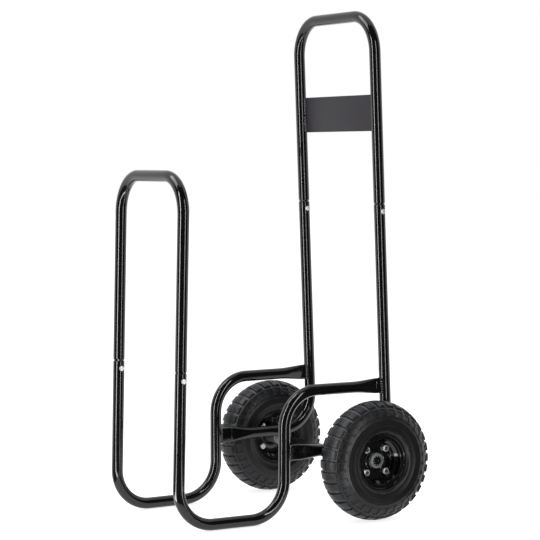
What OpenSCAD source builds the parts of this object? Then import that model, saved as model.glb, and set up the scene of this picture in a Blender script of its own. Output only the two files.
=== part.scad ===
// Two-wheeled log cart: bent steel tubes, two hoops that plug in, a welded axle and pneumatic tyres.
// Millimetres. X across the cart, Y from the front hoop to the wheels, Z up.
// The cart stands on Z = 0, and the origin is under the middle of its overall length.

/* [Tubes] */
// Outside diameter of every frame tube
tube_d = 25; // [20:1:28]
// Wall of every frame tube
tube_wall = 1.5; // [1:0.1:2.5]
// Centre-line radius of the bends in the side tubes and uprights
side_bend_r = 80; // [60:2:84]
// Centre-line radius of the corners of both hoops
hoop_bend_r = 80; // [50:5:100]

/* [Side frames] */
// Distance between the two front legs, centre to centre
front_spacing = 290; // [260:5:310]
// Distance between the two rear uprights at their upper ends, centre to centre
rear_spacing = 314; // [290:2:320]
// Length of each foot, from the front leg to the riser behind it
foot_len = 255; // [220:5:270]
// Height of the side rail that runs back from the riser, to its centre line
rail_z = 283; // [260:1:320]
// Backward lean of the front legs and the front hoop, degrees
front_lean = 1.25; // [0.5:0.25:3]
// Forward lean of the uprights and the handle hoop, degrees
rear_lean = 2.25; // [1:0.25:4]
// Height at which the front hoop plugs in
front_seam_z = 336; // [300:2:380]
// Height at which the handle hoop plugs in
rear_seam_z = 682; // [600:2:740]
// Distance of the uprights' upper ends behind the foot of the front legs
rear_seam_y = 495; // [480:5:520]

/* [Hoops] */
// Height of the front hoop's top, to its centre line
front_top_z = 746; // [650:2:800]
// Height of the handle's top, to its centre line
handle_top_z = 1096; // [1000:2:1200]
// Length of the reduced end of a hoop inside the tube below
spigot_len = 60; // [40:5:80]
// Clearance round that end, per side
spigot_fit = 0.2; // [0.15:0.05:0.4]
// Length of the tapered shoulder above that end
shoulder_len = 5; // [3:1:8]
// Bare neck that shows between the shoulder and the tube below
neck_gap = 1.5; // [1:0.5:3]

/* [Joint bolts] */
// Thread diameter of the bolts through the plugged joints
joint_bolt_d = 6; // [5:1:8]
// Clearance round a joint bolt, per side
joint_bolt_fit = 0.2; // [0.1:0.05:0.4]
// Distance of a joint bolt below its seam
joint_bolt_drop = 15; // [12:1:25]

/* [Pressed tube ends] */
// Height of a tube end after it is pressed flat
press_h = 34; // [30:1:35]
// Length of the flat at the back end of a side rail
rail_press_len = 12; // [8:1:24]
// Length of the flat at the front end of an axle stay
stay_press_len = 28; // [16:1:32]
// Length over which the round tube turns into the flat
press_run = 60; // [40:2:70]
// Radius of the weld beads at the pressed ends
weld_r = 3; // [2:0.5:4]

/* [Back plate] */
// Height of the plate
plate_h = 80; // [60:2:120]
// Thickness of the plate
plate_t = 2; // [1.5:0.5:4]
// Distance of the plate's lower edge below the handle's top
plate_drop = 253; // [200:1:290]
// Distance of the plate's middle behind the middle of the legs
plate_back = 5; // [0:0.5:7]
// Clearance between the plate's edge and each leg, which the stitch welds bridge
plate_fit = 0.25; // [0.1:0.05:0.5]
// Length of each stitch weld on the plate
stitch_len = 38; // [12:1:38]
// Radius of the stitch welds
stitch_r = 4.5; // [1.5:0.25:5]
// How deep a stitch weld melts into the plate
stitch_bite = 0.3; // [0.2:0.1:0.6]

/* [Axle] */
// Diameter of the axle
axle_d = 16; // [14:1:18]
// Distance of the axle behind the foot of the front legs
axle_y = 442; // [430:1:446]
// Distance of each tyre's middle plane from the middle of the cart
wheel_x = 221; // [218:1:240]
// Axle end beyond the hub
axle_tail = 4; // [3:0.5:8]
// Radius of the weld beads between axle and stays
axle_bead_r = 4; // [3:0.5:5]
// Length of those beads along the axle
axle_bead_len = 20; // [12:1:24]
// Thickness of a plain washer on the axle
washer_t = 3; // [2:0.5:4]
// Outside diameter of a plain washer on the axle
washer_d = 30; // [26:1:34]
// Outside diameter of the toothed retaining washer
retainer_d = 32; // [28:1:33]
// Thickness of the toothed retaining washer
retainer_t = 1.5; // [1:0.25:2]
// Number of teeth that grip the axle
retainer_teeth = 10; // [6:1:14]
// Depth of the slots between those teeth
retainer_slot = 3.5; // [2:0.5:5]
// Width of those slots
retainer_slot_w = 2.8; // [1.5:0.1:3.2]

/* [Tyre] */
// Outside diameter of the tyre
tyre_od = 260; // [250:2:280]
// Width of the tyre
tyre_w = 82; // [78:1:88]
// Depth of the tread grooves at the crown
tread_depth = 4.5; // [3:0.5:6]
// Number of tread blocks round the tyre in each row
tread_count = 32; // [24:1:40]
// Share of each pitch that a groove takes
tread_gap_share = 0.32; // [0.2:0.02:0.44]
// Width of the tread blocks across the crown, between their outer edges
tread_w = 58; // [54:1:60]
// Radius of the crown across the tread
crown_r = 50; // [44:1:60]
// Distance from the middle of the tread to the groove on each side of its centre row
rib_groove_x = 4.8; // [4:0.2:7]
// Width of those two grooves
rib_groove_w = 1.8; // [1:0.2:3]
// Height of the shoulder bars, which lie in line with the gaps between the blocks
bar_h = 2; // [1:0.25:3]
// Distance of the bars' inner ends below the crown, along the radius
bar_drop = 30; // [26:1:34]
// Thickness of the tyre's sidewall
tyre_wall = 4.5; // [3.5:0.5:6]
// Wall of the inner tube
tube_rubber = 2; // [1.5:0.25:3]
// Gap between the inner tube and what holds it
tube_gap = 0.3; // [0.2:0.1:0.6]

/* [Rim] */
// Diameter of the bead seat
seat_d = 101.6; // [98:0.2:106]
// Diameter over the rim flange
flange_d = 120; // [116:1:124]
// Distance between the two flanges, inside
flange_gap = 53; // [50:1:56]
// Outside diameter of the rim's well
well_d = 88; // [84:1:92]
// Width of the well
well_w = 24; // [20:1:28]
// Thickness of the rim sheet
rim_t = 2; // [1.5:0.25:2.5]
// How far the flange lip curls out past the flange
lip_out = 2.5; // [1.5:0.5:4]
// Length of the slope between the well and the bead seat
well_ramp = 5; // [3:0.5:7]
// Pitch circle of the rim bolts
rim_bolt_circle = 70; // [66:1:74]
// Thread diameter of the rim bolts
rim_bolt_d = 8; // [6:1:8]
// Clearance round a rim bolt, per side
rim_bolt_fit = 0.2; // [0.1:0.05:0.4]

/* [Hub] */
// Outside diameter of the hub tube
hub_d = 33; // [32:0.5:36]
// Bore of the hub tube where the bearings sit
bearing_od = 26; // [24:0.5:28]
// Bore of the hub tube between the bearings
hub_waist_d = 23; // [20:0.5:23.5]
// Length of the hub
hub_len = 55; // [54:1:56]
// Reach of the hub outboard of the tyre's middle plane
hub_out = 9; // [8:0.5:10]
// Length of each roller bearing
bearing_len = 20; // [16:1:22]
// Number of rollers in a bearing
roller_count = 8; // [6:1:9]
// Running clearance between rollers and what they roll on, per side
roller_fit = 0.05; // [0.03:0.01:0.08]

/* [Valve] */
// Diameter of the bent valve stem
valve_d = 7; // [6:0.5:8]
// Bend radius of the valve stem
valve_bend_r = 6; // [5:0.5:8]
// Distance of the stem's radial leg inboard of the rim joint
valve_x = 8; // [7.5:0.25:8.5]
// Length of the stem's axial leg
valve_len = 14; // [10:1:16]
// Bore of the stem
valve_bore_d = 3; // [2.5:0.25:4]
// Clearance of the stem in the rim, per side
valve_hole_fit = 0.3; // [0.1:0.05:0.5]
// Length of the valve cap over the stem
cap_grip = 6.5; // [5:0.5:9]
// Wall and end thickness of the valve cap
cap_wall = 1.3; // [1:0.1:2]

/* [Hidden] */
$fn = 96;

eps = 0.01;
// How far a cut runs past the face that it goes through.
over = 1;
tube_r = tube_d / 2;
bore_d = tube_d - 2 * tube_wall;
// The bender's jaws leave a faint raised ring where each bend starts and ends.
bend_mark = 0.1;
bend_gap = 0.5;
// The side frames are flat, and stand slightly toed in towards the front.
toe = atan((rear_spacing - front_spacing) / 2 / rear_seam_y);
rear_seam_s = rear_seam_y / cos(toe);
axle_s = axle_y / cos(toe);
axle_z = tyre_od / 2;
axle_r = axle_d / 2;
// The axle stay rests on the axle.
stay_z = axle_z + axle_r + tube_r;

// Overall length: from the bend at the foot of a front leg to the back of the tyres.
front_reach = side_bend_r + tube_r - side_bend_r * tan((90 + front_lean) / 2);
mid_y = (axle_y + tyre_od / 2 - front_reach) / 2;

// A pressed end keeps the round tube's girth.
press_t = (PI * (tube_d - tube_wall) - 2 * press_h + PI * tube_wall) / (PI - 2);
press_rings = 6;
press_points = 40;
press_lap = 1;
press_step = 0.1;
// Share of that length over which the flattening sets in.
press_start = 0.4;

spigot_d = bore_d - 2 * spigot_fit;
spigot_bore_d = spigot_d - 2 * tube_wall;
plate_face = plate_t / 2 - plate_back;
plate_grip = tube_r - sqrt(tube_r * tube_r - plate_face * plate_face);

// Fasteners follow their thread diameter.
function hex_af(d) = 1.5 * d + 1;
function head_h(d) = 0.65 * d;
function nut_h(d) = 0.8 * d;

// Tyre and rim sections, in the plane of radius and distance from the middle plane.
carcass_r = tyre_w / 2;
carcass_c = tyre_od / 2 - tread_depth - carcass_r;
cavity_r = carcass_r - tyre_wall;
crown_c = tyre_od / 2 - crown_r;
seat_r = seat_d / 2;
flange_r = flange_d / 2;
well_r = well_d / 2;
bead_w = 9.5;
bead_x = flange_gap / 2;
bead_cut = 2;
bead_foot = flange_r - bead_cut;
bead_filler = 10;
bead_top = flange_r + bead_filler;
lip_gap = 0.5;
tread_base = 0.5;
cross_base = 1.2;
pocket_base = 0.3;
// The pockets between the bars start just outside the blocks, and run a little past their ends.
pocket_out = 1.5;
pocket_x = tread_w / 2 + pocket_out;
pocket_lap = 0.2;
bar_lap = 1;
bar_x = tread_w / 2 - bar_lap;
tread_side_a = 78;
bead_bite = 0.5;
tread_pitch = 360 / tread_count;
tread_gap = tread_pitch * tread_gap_share;
pocket_a = tread_pitch - tread_gap + 2 * pocket_lap;

hub_r = hub_d / 2;
hub_in = hub_out - hub_len;
roller_c = (axle_d + bearing_od) / 4;
roller_d = (bearing_od - axle_d) / 2 - 2 * roller_fit;
cage_gap = 0.9;
cage_end = 2;
pocket_fit = 0.1;
stem_r = well_r - rim_t;
thread_past = 1.5;
cap_fit = 0.1;
// Share of a bead's radius that lies outside the corner it fills.
bead_out = 0.3;

// ---- Bent tubes: a flat path of corner points, rounded at each inner point ----

function unit(v) = v / norm(v);
function heading(p, i) = atan2(p[i + 1].y - p[i].y, p[i + 1].x - p[i].x);
function wrap(a) = a > 180 ? a - 360 : a < -180 ? a + 360 : a;
function turn(p, i) = wrap(heading(p, i) - heading(p, i - 1));
function set_back(p, i, r) = i == 0 || i == len(p) - 1 ? 0 : r * tan(abs(turn(p, i)) / 2);

module bent_bar(p, r, d, past = 0) {
    last = len(p) - 2;
    for (i = [0:last]) {
        along = unit(p[i + 1] - p[i]);
        from = p[i] + along * (i == 0 ? -past : set_back(p, i, r));
        to = p[i + 1] - along * (i == last ? -past : set_back(p, i + 1, r));
        run = norm(to - from);
        start = i == 0 ? 0 : bend_gap;
        end = i == last ? run : run - bend_gap;
        translate([from.x, from.y, 0]) rotate([0, 90, heading(p, i)]) {
            translate([0, 0, start]) cylinder(d = d, h = end - start);
            if (i > 0) sphere(d = d + 2 * bend_mark);
            if (i < last) translate([0, 0, run]) sphere(d = d + 2 * bend_mark);
        }
    }
    for (i = [1:last]) {
        side = sign(turn(p, i));
        start = p[i] - unit(p[i] - p[i - 1]) * set_back(p, i, r);
        h = heading(p, i - 1);
        centre = start + side * r * [-sin(h), cos(h)];
        translate([centre.x, centre.y, 0])
            rotate([0, 0, side > 0 ? h - 90 : h + 90 + turn(p, i)])
                rotate_extrude(angle = abs(turn(p, i))) translate([r, 0]) circle(d = d);
    }
}

// ---- Where things stand ----

// Puts the foot of the front legs at the front, and the middle of the cart over the origin.
module cart() { translate([0, -mid_y, 0]) children(); }

// side = 1 is the right side frame, -1 the left one. Inside, X runs back and Y runs up.
module side_frame(side) {
    cart() mirror([side < 0 ? 1 : 0, 0, 0])
        translate([front_spacing / 2, 0, 0]) rotate([0, 0, -toe]) rotate([90, 0, 90]) children();
}

function front_s(z) = (z - tube_r) * tan(front_lean);
function rear_s(z) = rear_seam_s + (rear_seam_z - z) * tan(rear_lean);
front_leg_x = front_spacing / 2 + front_s(front_seam_z) * sin(toe);
front_leg_y = front_s(front_seam_z) * cos(toe);
rear_leg_x = rear_spacing / 2;

// Hoop planes: X across, Y up along the legs from the seam.
module front_hoop_plane() {
    cart() translate([0, front_leg_y, front_seam_z]) rotate([90 - front_lean, 0, 0]) children();
}
module handle_plane() {
    cart() translate([0, rear_seam_y, rear_seam_z]) rotate([90 + rear_lean, 0, 0]) children();
}

module wheel(side) {
    cart() translate([0, axle_y, axle_z]) mirror([side < 0 ? 1 : 0, 0, 0])
        translate([wheel_x, 0, 0]) rotate([0, 90, 0]) children();
}

// ---- Fasteners, along +Z ----

// Two flats face along X, so a corner never points at the rim's well.
module hex_head(d, h) {
    rotate([0, 0, 30]) cylinder(d = hex_af(d) / cos(30), h = h, $fn = 6);
}

// The shank shows from z = 0 up; it starts half way into the head, which lies below.
module bolt(d, length) {
    root = head_h(d) / 2;
    translate([0, 0, -root]) cylinder(d = d, h = length + root);
    translate([0, 0, -head_h(d)]) hex_head(d, head_h(d));
}

module nut(d) {
    difference() {
        hex_head(d, nut_h(d));
        translate([0, 0, -over]) cylinder(d = d, h = nut_h(d) + 2 * over);
    }
}

// ---- Hoops ----

module hoop_path(leg_x, rise, d, past = 0) {
    bent_bar([[-leg_x, 0], [-leg_x, rise], [leg_x, rise], [leg_x, 0]], hoop_bend_r, d, past);
}

module hoop(leg_x, rise) {
    taper_to = neck_gap + shoulder_len;
    difference() {
        union() {
            translate([0, taper_to, 0]) hoop_path(leg_x, rise - taper_to, tube_d);
            for (x = [-leg_x, leg_x]) translate([x, 0, 0]) rotate([-90, 0, 0]) {
                translate([0, 0, -spigot_len]) cylinder(d = spigot_d, h = spigot_len + neck_gap);
                translate([0, 0, neck_gap]) cylinder(d1 = spigot_d, d2 = tube_d, h = shoulder_len);
            }
        }
        translate([0, taper_to, 0]) hoop_path(leg_x, rise - taper_to, bore_d);
        for (x = [-leg_x, leg_x]) translate([x, 0, 0]) rotate([-90, 0, 0]) {
            translate([0, 0, -spigot_len - over])
                cylinder(d = spigot_bore_d, h = spigot_len + over + neck_gap);
            translate([0, 0, neck_gap]) cylinder(d1 = spigot_bore_d, d2 = bore_d, h = shoulder_len);
        }
    }
}

front_rise = (front_top_z - front_seam_z) / cos(front_lean);
handle_rise = (handle_top_z - rear_seam_z) / cos(rear_lean);

module front_hoop() {
    color("#141416") difference() {
        front_hoop_plane() hoop(front_leg_x, front_rise);
        front_joint_drill();
    }
}

module handle_hoop() {
    color("#141416") difference() {
        handle_plane() hoop(rear_leg_x, handle_rise);
        rear_joint_drill();
    }
}

// ---- Back plate ----

plate_low = (handle_top_z - plate_drop - rear_seam_z) / cos(rear_lean);
plate_up = plate_h / cos(rear_lean);
// The plate goes in between the legs, so it is cut to the space at their widest.
plate_w = 2 * (rear_leg_x - tube_r - plate_fit);

module back_plate() {
    color("#4a474c") handle_plane() difference() {
        translate([-plate_w / 2, plate_low, plate_face - plate_t])
            cube([plate_w, plate_up, plate_t]);
        stitches();
    }
}

module handle_legs() {
    for (x = [-rear_leg_x, rear_leg_x]) translate([x, 0, 0]) rotate([-90, 0, 0])
        cylinder(d = tube_d, h = handle_rise);
}

// Stitch welds lie in the corner between the plate's front face and each leg.
module stitches() {
    corner_x = rear_leg_x - tube_r + plate_grip;
    difference() {
        for (x = [-corner_x, corner_x], end = [0, 1])
            translate([x, plate_low + end * (plate_up - stitch_len), plate_face])
                rotate([-90, 0, 0]) cylinder(r = stitch_r, h = stitch_len);
        translate([-rear_leg_x, plate_low - over, plate_face - stitch_bite - stitch_r])
            cube([2 * rear_leg_x, plate_up + 2 * over, stitch_r]);
    }
}

module plate_welds() {
    color("#101012") handle_plane() difference() {
        stitches();
        handle_legs();
    }
}

// ---- Side tubes and uprights ----

rail_end_s = rear_s(rail_z) - tube_r;
rail_round_end = rail_end_s - rail_press_len - press_run;
stay_end_s = foot_len + tube_r;
stay_round_end = stay_end_s + stay_press_len + press_run;

function side_tube_path() = [
    [front_s(front_seam_z), front_seam_z], [0, tube_r], [foot_len, tube_r],
    [foot_len, rail_z], [rail_round_end, rail_z]
];
function upright_path() = [
    [rear_s(rear_seam_z), rear_seam_z], [rear_s(stay_z), stay_z], [stay_round_end, stay_z]
];

// One point of a pressed end's outline, as height and thickness, at share t of the way from the
// round tube to the flat oval; inset gives the hollow inside.
function press_point(t, inset, a) =
    let (r = tube_r + (press_t / 2 - tube_r) * t - inset, run = (press_h - press_t) / 2 * t)
    [r * cos(a) + (cos(a) > 0 ? run : -run), r * sin(a)];

function ease(t) =
    (t < press_start ? t * t / (2 * press_start) : t - press_start / 2) / (1 - press_start / 2);
function press_ring(x, t, inset) = [
    for (i = [0:press_points - 1])
        let (p = press_point(t, inset, (i + 0.5) * 360 / press_points)) [x, p.x, p.y]
];

// Walls between rings of n points, then the two ends.
function ring_walls(rings, n) = [
    for (j = [0:rings - 2], i = [0:n - 1])
        let (k = (i + 1) % n) [j * n + i, (j + 1) * n + i, (j + 1) * n + k, j * n + k]
];
function ring_ends(rings, n) = [[for (i = [0:n - 1]) i], [for (i = [1:n]) rings * n - i]];

// A pressed end along +X. It starts press_lap inside the round tube, a little slimmer than it.
module pressed_end(flat_len, inset, past) {
    steps = [for (j = [0:press_rings]) j / press_rings];
    points = concat(
        press_ring(-press_lap, 0, inset + press_step),
        [for (t = steps) each press_ring(t * press_run, ease(t), inset + press_step)],
        press_ring(press_run + flat_len + past, 1, inset + press_step)
    );
    rings = len(steps) + 2;
    polyhedron(points, concat(ring_walls(rings, press_points), ring_ends(rings, press_points)));
}

module side_tube(side) {
    color("#141416") difference() {
        side_frame(side) difference() {
            union() {
                bent_bar(side_tube_path(), side_bend_r, tube_d);
                translate([rail_round_end, rail_z, 0]) pressed_end(rail_press_len, 0, tube_r);
            }
            bent_bar(side_tube_path(), side_bend_r, bore_d, eps);
            translate([rail_round_end, rail_z, 0]) pressed_end(rail_press_len, tube_wall, tube_r + over);
            upright_bar();
        }
        front_joint_drill();
    }
}

module upright(side) {
    color("#141416") difference() {
        side_frame(side) difference() {
            union() {
                bent_bar(upright_path(), side_bend_r, tube_d);
                translate([stay_round_end, stay_z, 0]) mirror([1, 0, 0])
                    pressed_end(stay_press_len, 0, tube_r);
            }
            bent_bar(upright_path(), side_bend_r, bore_d, eps);
            translate([stay_round_end, stay_z, 0]) mirror([1, 0, 0])
                pressed_end(stay_press_len, tube_wall, tube_r + over);
            riser_bar();
        }
        rear_joint_drill();
    }
}

// Solid stand-ins for the round tubes that pressed ends and welds fit against.
module upright_bar() {
    translate([rear_s(stay_z), stay_z, 0]) rotate([-90, 0, rear_lean])
        cylinder(d = tube_d, h = (rear_seam_z - stay_z) / cos(rear_lean));
}
module riser_bar() {
    translate([foot_len, tube_r, 0]) rotate([-90, 0, 0]) cylinder(d = tube_d, h = rail_z - tube_r);
}

// Two upright beads at each pressed end.
module frame_welds(side) {
    bead_side = press_t / 2 + weld_r * bead_out;
    bead_back = sqrt(tube_r * tube_r - bead_side * bead_side);
    color("#101012") side_frame(side) difference() {
        for (z = [-bead_side, bead_side]) {
            translate([rear_s(rail_z) - bead_back, rail_z, z]) rotate([-90, 0, rear_lean])
                cylinder(r = weld_r, h = press_h, center = true);
            translate([foot_len + bead_back, stay_z, z]) rotate([-90, 0, 0])
                cylinder(r = weld_r, h = press_h, center = true);
        }
        upright_bar();
        riser_bar();
        translate([rail_round_end, rail_z, 0]) pressed_end(rail_press_len, 0, tube_r);
        translate([stay_round_end, stay_z, 0]) mirror([1, 0, 0])
            pressed_end(stay_press_len, 0, tube_r);
    }
}

// ---- Joint bolts, across each plugged joint ----

// Every joint: side, then the middle of its bolt. Heads face out and nuts face in.
module at_joints(x, y, z) {
    cart() for (side = [-1, 1]) mirror([side < 0 ? 1 : 0, 0, 0])
        translate([x, y, z]) rotate([0, 90, 0]) children();
}
module front_joints() {
    drop = joint_bolt_drop * cos(front_lean);
    at_joints(front_leg_x, front_leg_y - joint_bolt_drop * sin(front_lean), front_seam_z - drop)
        children();
}
module rear_joints() {
    drop = joint_bolt_drop * cos(rear_lean);
    at_joints(rear_leg_x, rear_seam_y + joint_bolt_drop * sin(rear_lean), rear_seam_z - drop)
        children();
}

module joint_drill() {
    cylinder(d = joint_bolt_d + 2 * joint_bolt_fit, h = tube_d + 4 * over, center = true);
}
module front_joint_drill() { front_joints() joint_drill(); }
module rear_joint_drill() { rear_joints() joint_drill(); }

joint_shank = tube_d + nut_h(joint_bolt_d) + thread_past;
module joint_bolt() {
    translate([0, 0, tube_r]) mirror([0, 0, 1]) bolt(joint_bolt_d, joint_shank);
}
module joint_nut() { translate([0, 0, -tube_r]) mirror([0, 0, 1]) nut(joint_bolt_d); }

module front_joint_bolts() { color("#c9cdd0") front_joints() joint_bolt(); }
module front_joint_nuts() { color("#c9cdd0") front_joints() joint_nut(); }
module rear_joint_bolts() { color("#c9cdd0") rear_joints() joint_bolt(); }
module rear_joint_nuts() { color("#c9cdd0") rear_joints() joint_nut(); }

// ---- Axle and what holds the wheels on it ----

side_gap = 0.1;
axle_half = wheel_x + hub_out + axle_tail;

module along_axle() { cart() translate([0, axle_y, axle_z]) rotate([0, 90, 0]) children(); }

module axle() {
    color("#1b1b1d") along_axle() cylinder(d = axle_d, h = 2 * axle_half, center = true);
}

// Beads in the two corners between each stay and the axle under it.
module axle_welds() {
    stay_x = front_spacing / 2 + axle_s * sin(toe);
    color("#101012") difference() {
        along_axle() for (x = [-stay_x, stay_x], y = [-axle_r, axle_r])
            translate([-axle_r, y, x])
                cylinder(r = axle_bead_r, h = axle_bead_len, center = true);
        along_axle() cylinder(d = axle_d, h = 2 * axle_half, center = true);
        for (side = [-1, 1]) side_frame(side) bent_bar(upright_path(), side_bend_r, tube_d);
    }
}

module ring(d, bore, h) {
    difference() {
        cylinder(d = d, h = h);
        translate([0, 0, -over]) cylinder(d = bore, h = h + 2 * over);
    }
}

// Two plain washers on each side, between the stay and the hub.
module axle_washers() {
    hub_face = wheel_x + hub_in;
    color("#9da2a5") along_axle() for (side = [0, 1]) mirror([0, 0, side]) for (i = [1, 2])
        translate([0, 0, hub_face - i * (washer_t + side_gap)])
            ring(washer_d, axle_d + 2 * side_gap, washer_t);
}

// Toothed washers pushed on outside the hubs.
module axle_retainers() {
    color("#8a8f90") along_axle() for (side = [0, 1]) mirror([0, 0, side])
        translate([0, 0, wheel_x + hub_out + 2 * side_gap]) difference() {
            ring(retainer_d, axle_d, retainer_t);
            for (i = [1:retainer_teeth]) rotate([0, 0, i * 360 / retainer_teeth])
                translate([0, -retainer_slot_w / 2, -over])
                    cube([axle_r + retainer_slot, retainer_slot_w, retainer_t + 2 * over]);
        }
}

// ---- Tyre ----

// Sections are drawn with X as radius and Y as distance from the middle plane.
module both_bands(start, from, width, to) {
    for (y = [from, -to]) translate([start, y]) square([width, to - from]);
}

// Crown of the tread, cut by flanks that run from its edges down into the carcass.
module tread_section() {
    edge = [crown_c + sqrt(crown_r * crown_r - tread_w * tread_w / 4), tread_w / 2];
    side_r = carcass_r - tread_base;
    low = [carcass_c + side_r * cos(tread_side_a), side_r * sin(tread_side_a)];
    high = edge + 2 * (tyre_od / 2 - edge.x) * unit(edge - low);
    intersection() {
        translate([crown_c, 0]) circle(r = crown_r);
        polygon([low, [low.x, -low.y], [high.x, -high.y], high]);
    }
}

// Bead between the rim's seat and flange, and the filler that joins it to the sidewall.
function wall_y(r, wall_r) = sqrt(wall_r * wall_r - (carcass_c - r) * (carcass_c - r));
module bead_section() {
    low = flange_r + lip_gap + bead_bite;
    mid_r = (carcass_r + cavity_r) / 2;
    side = [
        [seat_r, bead_x - bead_w], [bead_foot, bead_x - bead_w],
        [bead_top, wall_y(bead_top, cavity_r + bead_bite)], [bead_top, wall_y(bead_top, mid_r)],
        [low, wall_y(low, mid_r)], [low, bead_x], [seat_r, bead_x]
    ];
    polygon(side);
    polygon([for (i = [1:len(side)]) [side[len(side) - i].x, -side[len(side) - i].y]]);
}

// Band on each shoulder, higher than the bars that are cut out of it.
module bar_section() {
    intersection() {
        translate([carcass_c, 0]) circle(r = carcass_r + bar_h + tread_base);
        both_bands(tyre_od / 2 - bar_drop, bar_x, tyre_od, tyre_w);
    }
}

module tyre_section() {
    difference() {
        union() {
            translate([carcass_c, 0]) circle(r = carcass_r);
            tread_section();
            bar_section();
        }
        translate([carcass_c, 0]) circle(r = cavity_r);
        square([2 * (flange_r + lip_gap), 2 * tyre_w], center = true);
    }
    bead_section();
}

// What a groove removes, between two distances from the middle; its floor stays off the carcass.
module groove_section(from, to, base) {
    difference() {
        both_bands(carcass_c, from, tyre_od, to);
        translate([carcass_c, 0]) circle(r = carcass_r + base);
    }
}

module round_the_tyre(shift, a) {
    for (i = [1:tread_count]) rotate([0, 0, (i + shift) * tread_pitch - a / 2])
        rotate_extrude(angle = a) children();
}

module tyre() {
    rib_side = rib_groove_x - rib_groove_w / 2;
    color("#232427") difference() {
        rotate_extrude() difference() {
            tyre_section();
            groove_section(rib_side, rib_side + rib_groove_w, tread_base);
        }
        round_the_tyre(0.5, tread_gap) {
            groove_section(0, bar_x, cross_base);
            groove_section(bar_x - eps, tyre_w, bar_h);
        }
        round_the_tyre(0, pocket_a) groove_section(pocket_x, tyre_w, pocket_base);
    }
}

// ---- Inner tube and valve ----

tube_low = max(seat_r, carcass_c - cavity_r) + tube_gap;

module inner_tube_section(inset) {
    low = tube_low + inset;
    half = bead_x - bead_w - tube_gap - inset;
    difference() {
        translate([carcass_c, 0]) circle(r = cavity_r - tube_gap - inset);
        translate([0, -tyre_w]) square([low, 2 * tyre_w]);
        both_bands(0, half, bead_top + tube_gap + inset, tyre_w);
    }
}

module inner_tube() {
    color("#1c1c1e") difference() {
        rotate_extrude() difference() {
            inner_tube_section(0);
            inner_tube_section(tube_rubber);
        }
        translate([-tube_low, 0, -valve_x]) rotate([0, 90, 0])
            cylinder(d = valve_bore_d, h = 6 * tube_rubber, center = true);
    }
}

// Valve legs: one along the radius, through the well, and one along the axle, inboard.
module at_valve() { translate([-stem_r, 0, -valve_x]) children(); }

valve_top = sqrt(tube_low * tube_low - valve_d * valve_d / 4) - stem_r;

module valve_bar(d, past) {
    translate([-valve_top - past, 0, 0]) rotate([0, 90, 0]) cylinder(d = d, h = valve_top + past);
    translate([0, 0, -valve_bend_r]) rotate([90, 0, 0])
        rotate_extrude(angle = 90) translate([valve_bend_r, 0]) circle(d = d);
    translate([valve_bend_r, 0, -valve_bend_r - valve_len - past])
        cylinder(d = d, h = valve_len + past);
}

module valve_stem() {
    color("#b9b3a6") at_valve() difference() {
        valve_bar(valve_d, 0);
        valve_bar(valve_bore_d, over);
    }
}

module valve_cap() {
    color("#18181a") at_valve() translate([valve_bend_r, 0, -valve_bend_r - valve_len])
        difference() {
            translate([0, 0, -cap_wall])
                cylinder(d = valve_d + 2 * (cap_fit + cap_wall), h = cap_wall + cap_grip);
            cylinder(d = valve_d + 2 * cap_fit, h = cap_grip + over);
        }
}

// ---- Rim halves, hub and bearings ----

// Outer half, with X as radius and Y outboard; the joint face is Y = 0.
module rim_section() {
    ramp_x = well_w / 2 + well_ramp;
    flange_in = flange_gap / 2;
    polygon([
        [hub_r, 0], [well_r, 0], [well_r, well_w / 2], [seat_r, ramp_x], [seat_r, flange_in],
        [flange_r, flange_in], [flange_r, flange_in + rim_t + lip_out],
        [flange_r - rim_t, flange_in + rim_t + lip_out], [flange_r - rim_t, flange_in + rim_t],
        [seat_r - rim_t, flange_in + rim_t], [seat_r - rim_t, ramp_x + rim_t / 2],
        [well_r - rim_t, well_w / 2 + rim_t / 2], [well_r - rim_t, rim_t], [hub_r, rim_t]
    ]);
}

module rim_bolt_places() {
    for (i = [0:3]) rotate([0, 0, 45 + i * 90]) translate([rim_bolt_circle / 2, 0, 0]) children();
}

module outer_rim() {
    color("#121214") difference() {
        rotate_extrude() rim_section();
        rim_bolt_places() translate([0, 0, -over])
            cylinder(d = rim_bolt_d + 2 * rim_bolt_fit, h = rim_t + 2 * over);
    }
}

module inner_rim() {
    color("#121214") difference() {
        mirror([0, 0, 1]) rotate_extrude() rim_section();
        rim_bolt_places() translate([0, 0, -rim_t - over])
            cylinder(d = rim_bolt_d + 2 * rim_bolt_fit, h = rim_t + 2 * over);
        translate([-well_r, 0, -valve_x]) rotate([0, 90, 0])
            cylinder(d = valve_d + 2 * valve_hole_fit, h = 6 * rim_t, center = true);
    }
}

module rim_bolts() {
    color("#c9cdd0") rim_bolt_places() translate([0, 0, -rim_t])
        bolt(rim_bolt_d, 2 * rim_t + nut_h(rim_bolt_d) + thread_past);
}
module rim_nuts() { color("#c9cdd0") rim_bolt_places() translate([0, 0, rim_t]) nut(rim_bolt_d); }

module hub() {
    color("#8a8f90") translate([0, 0, hub_in]) difference() {
        cylinder(d = hub_d, h = hub_len);
        translate([0, 0, -over]) cylinder(d = hub_waist_d, h = hub_len + 2 * over);
        translate([0, 0, -over]) cylinder(d = bearing_od, h = bearing_len + side_gap + over);
        translate([0, 0, hub_len - bearing_len - side_gap])
            cylinder(d = bearing_od, h = bearing_len + side_gap + over);
    }
}

// Ring bead that joins the hub to the outer rim half.
module hub_weld() {
    color("#121214") difference() {
        translate([0, 0, rim_t]) rotate_extrude() translate([hub_r, 0]) circle(r = weld_r);
        translate([0, 0, -2 * weld_r]) cylinder(r = hub_r + 2 * weld_r, h = 2 * weld_r + rim_t);
        translate([0, 0, hub_in]) cylinder(d = hub_d, h = hub_len);
    }
}

module at_bearings() {
    translate([0, 0, hub_in]) children();
    translate([0, 0, hub_out - bearing_len]) children();
}

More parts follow.
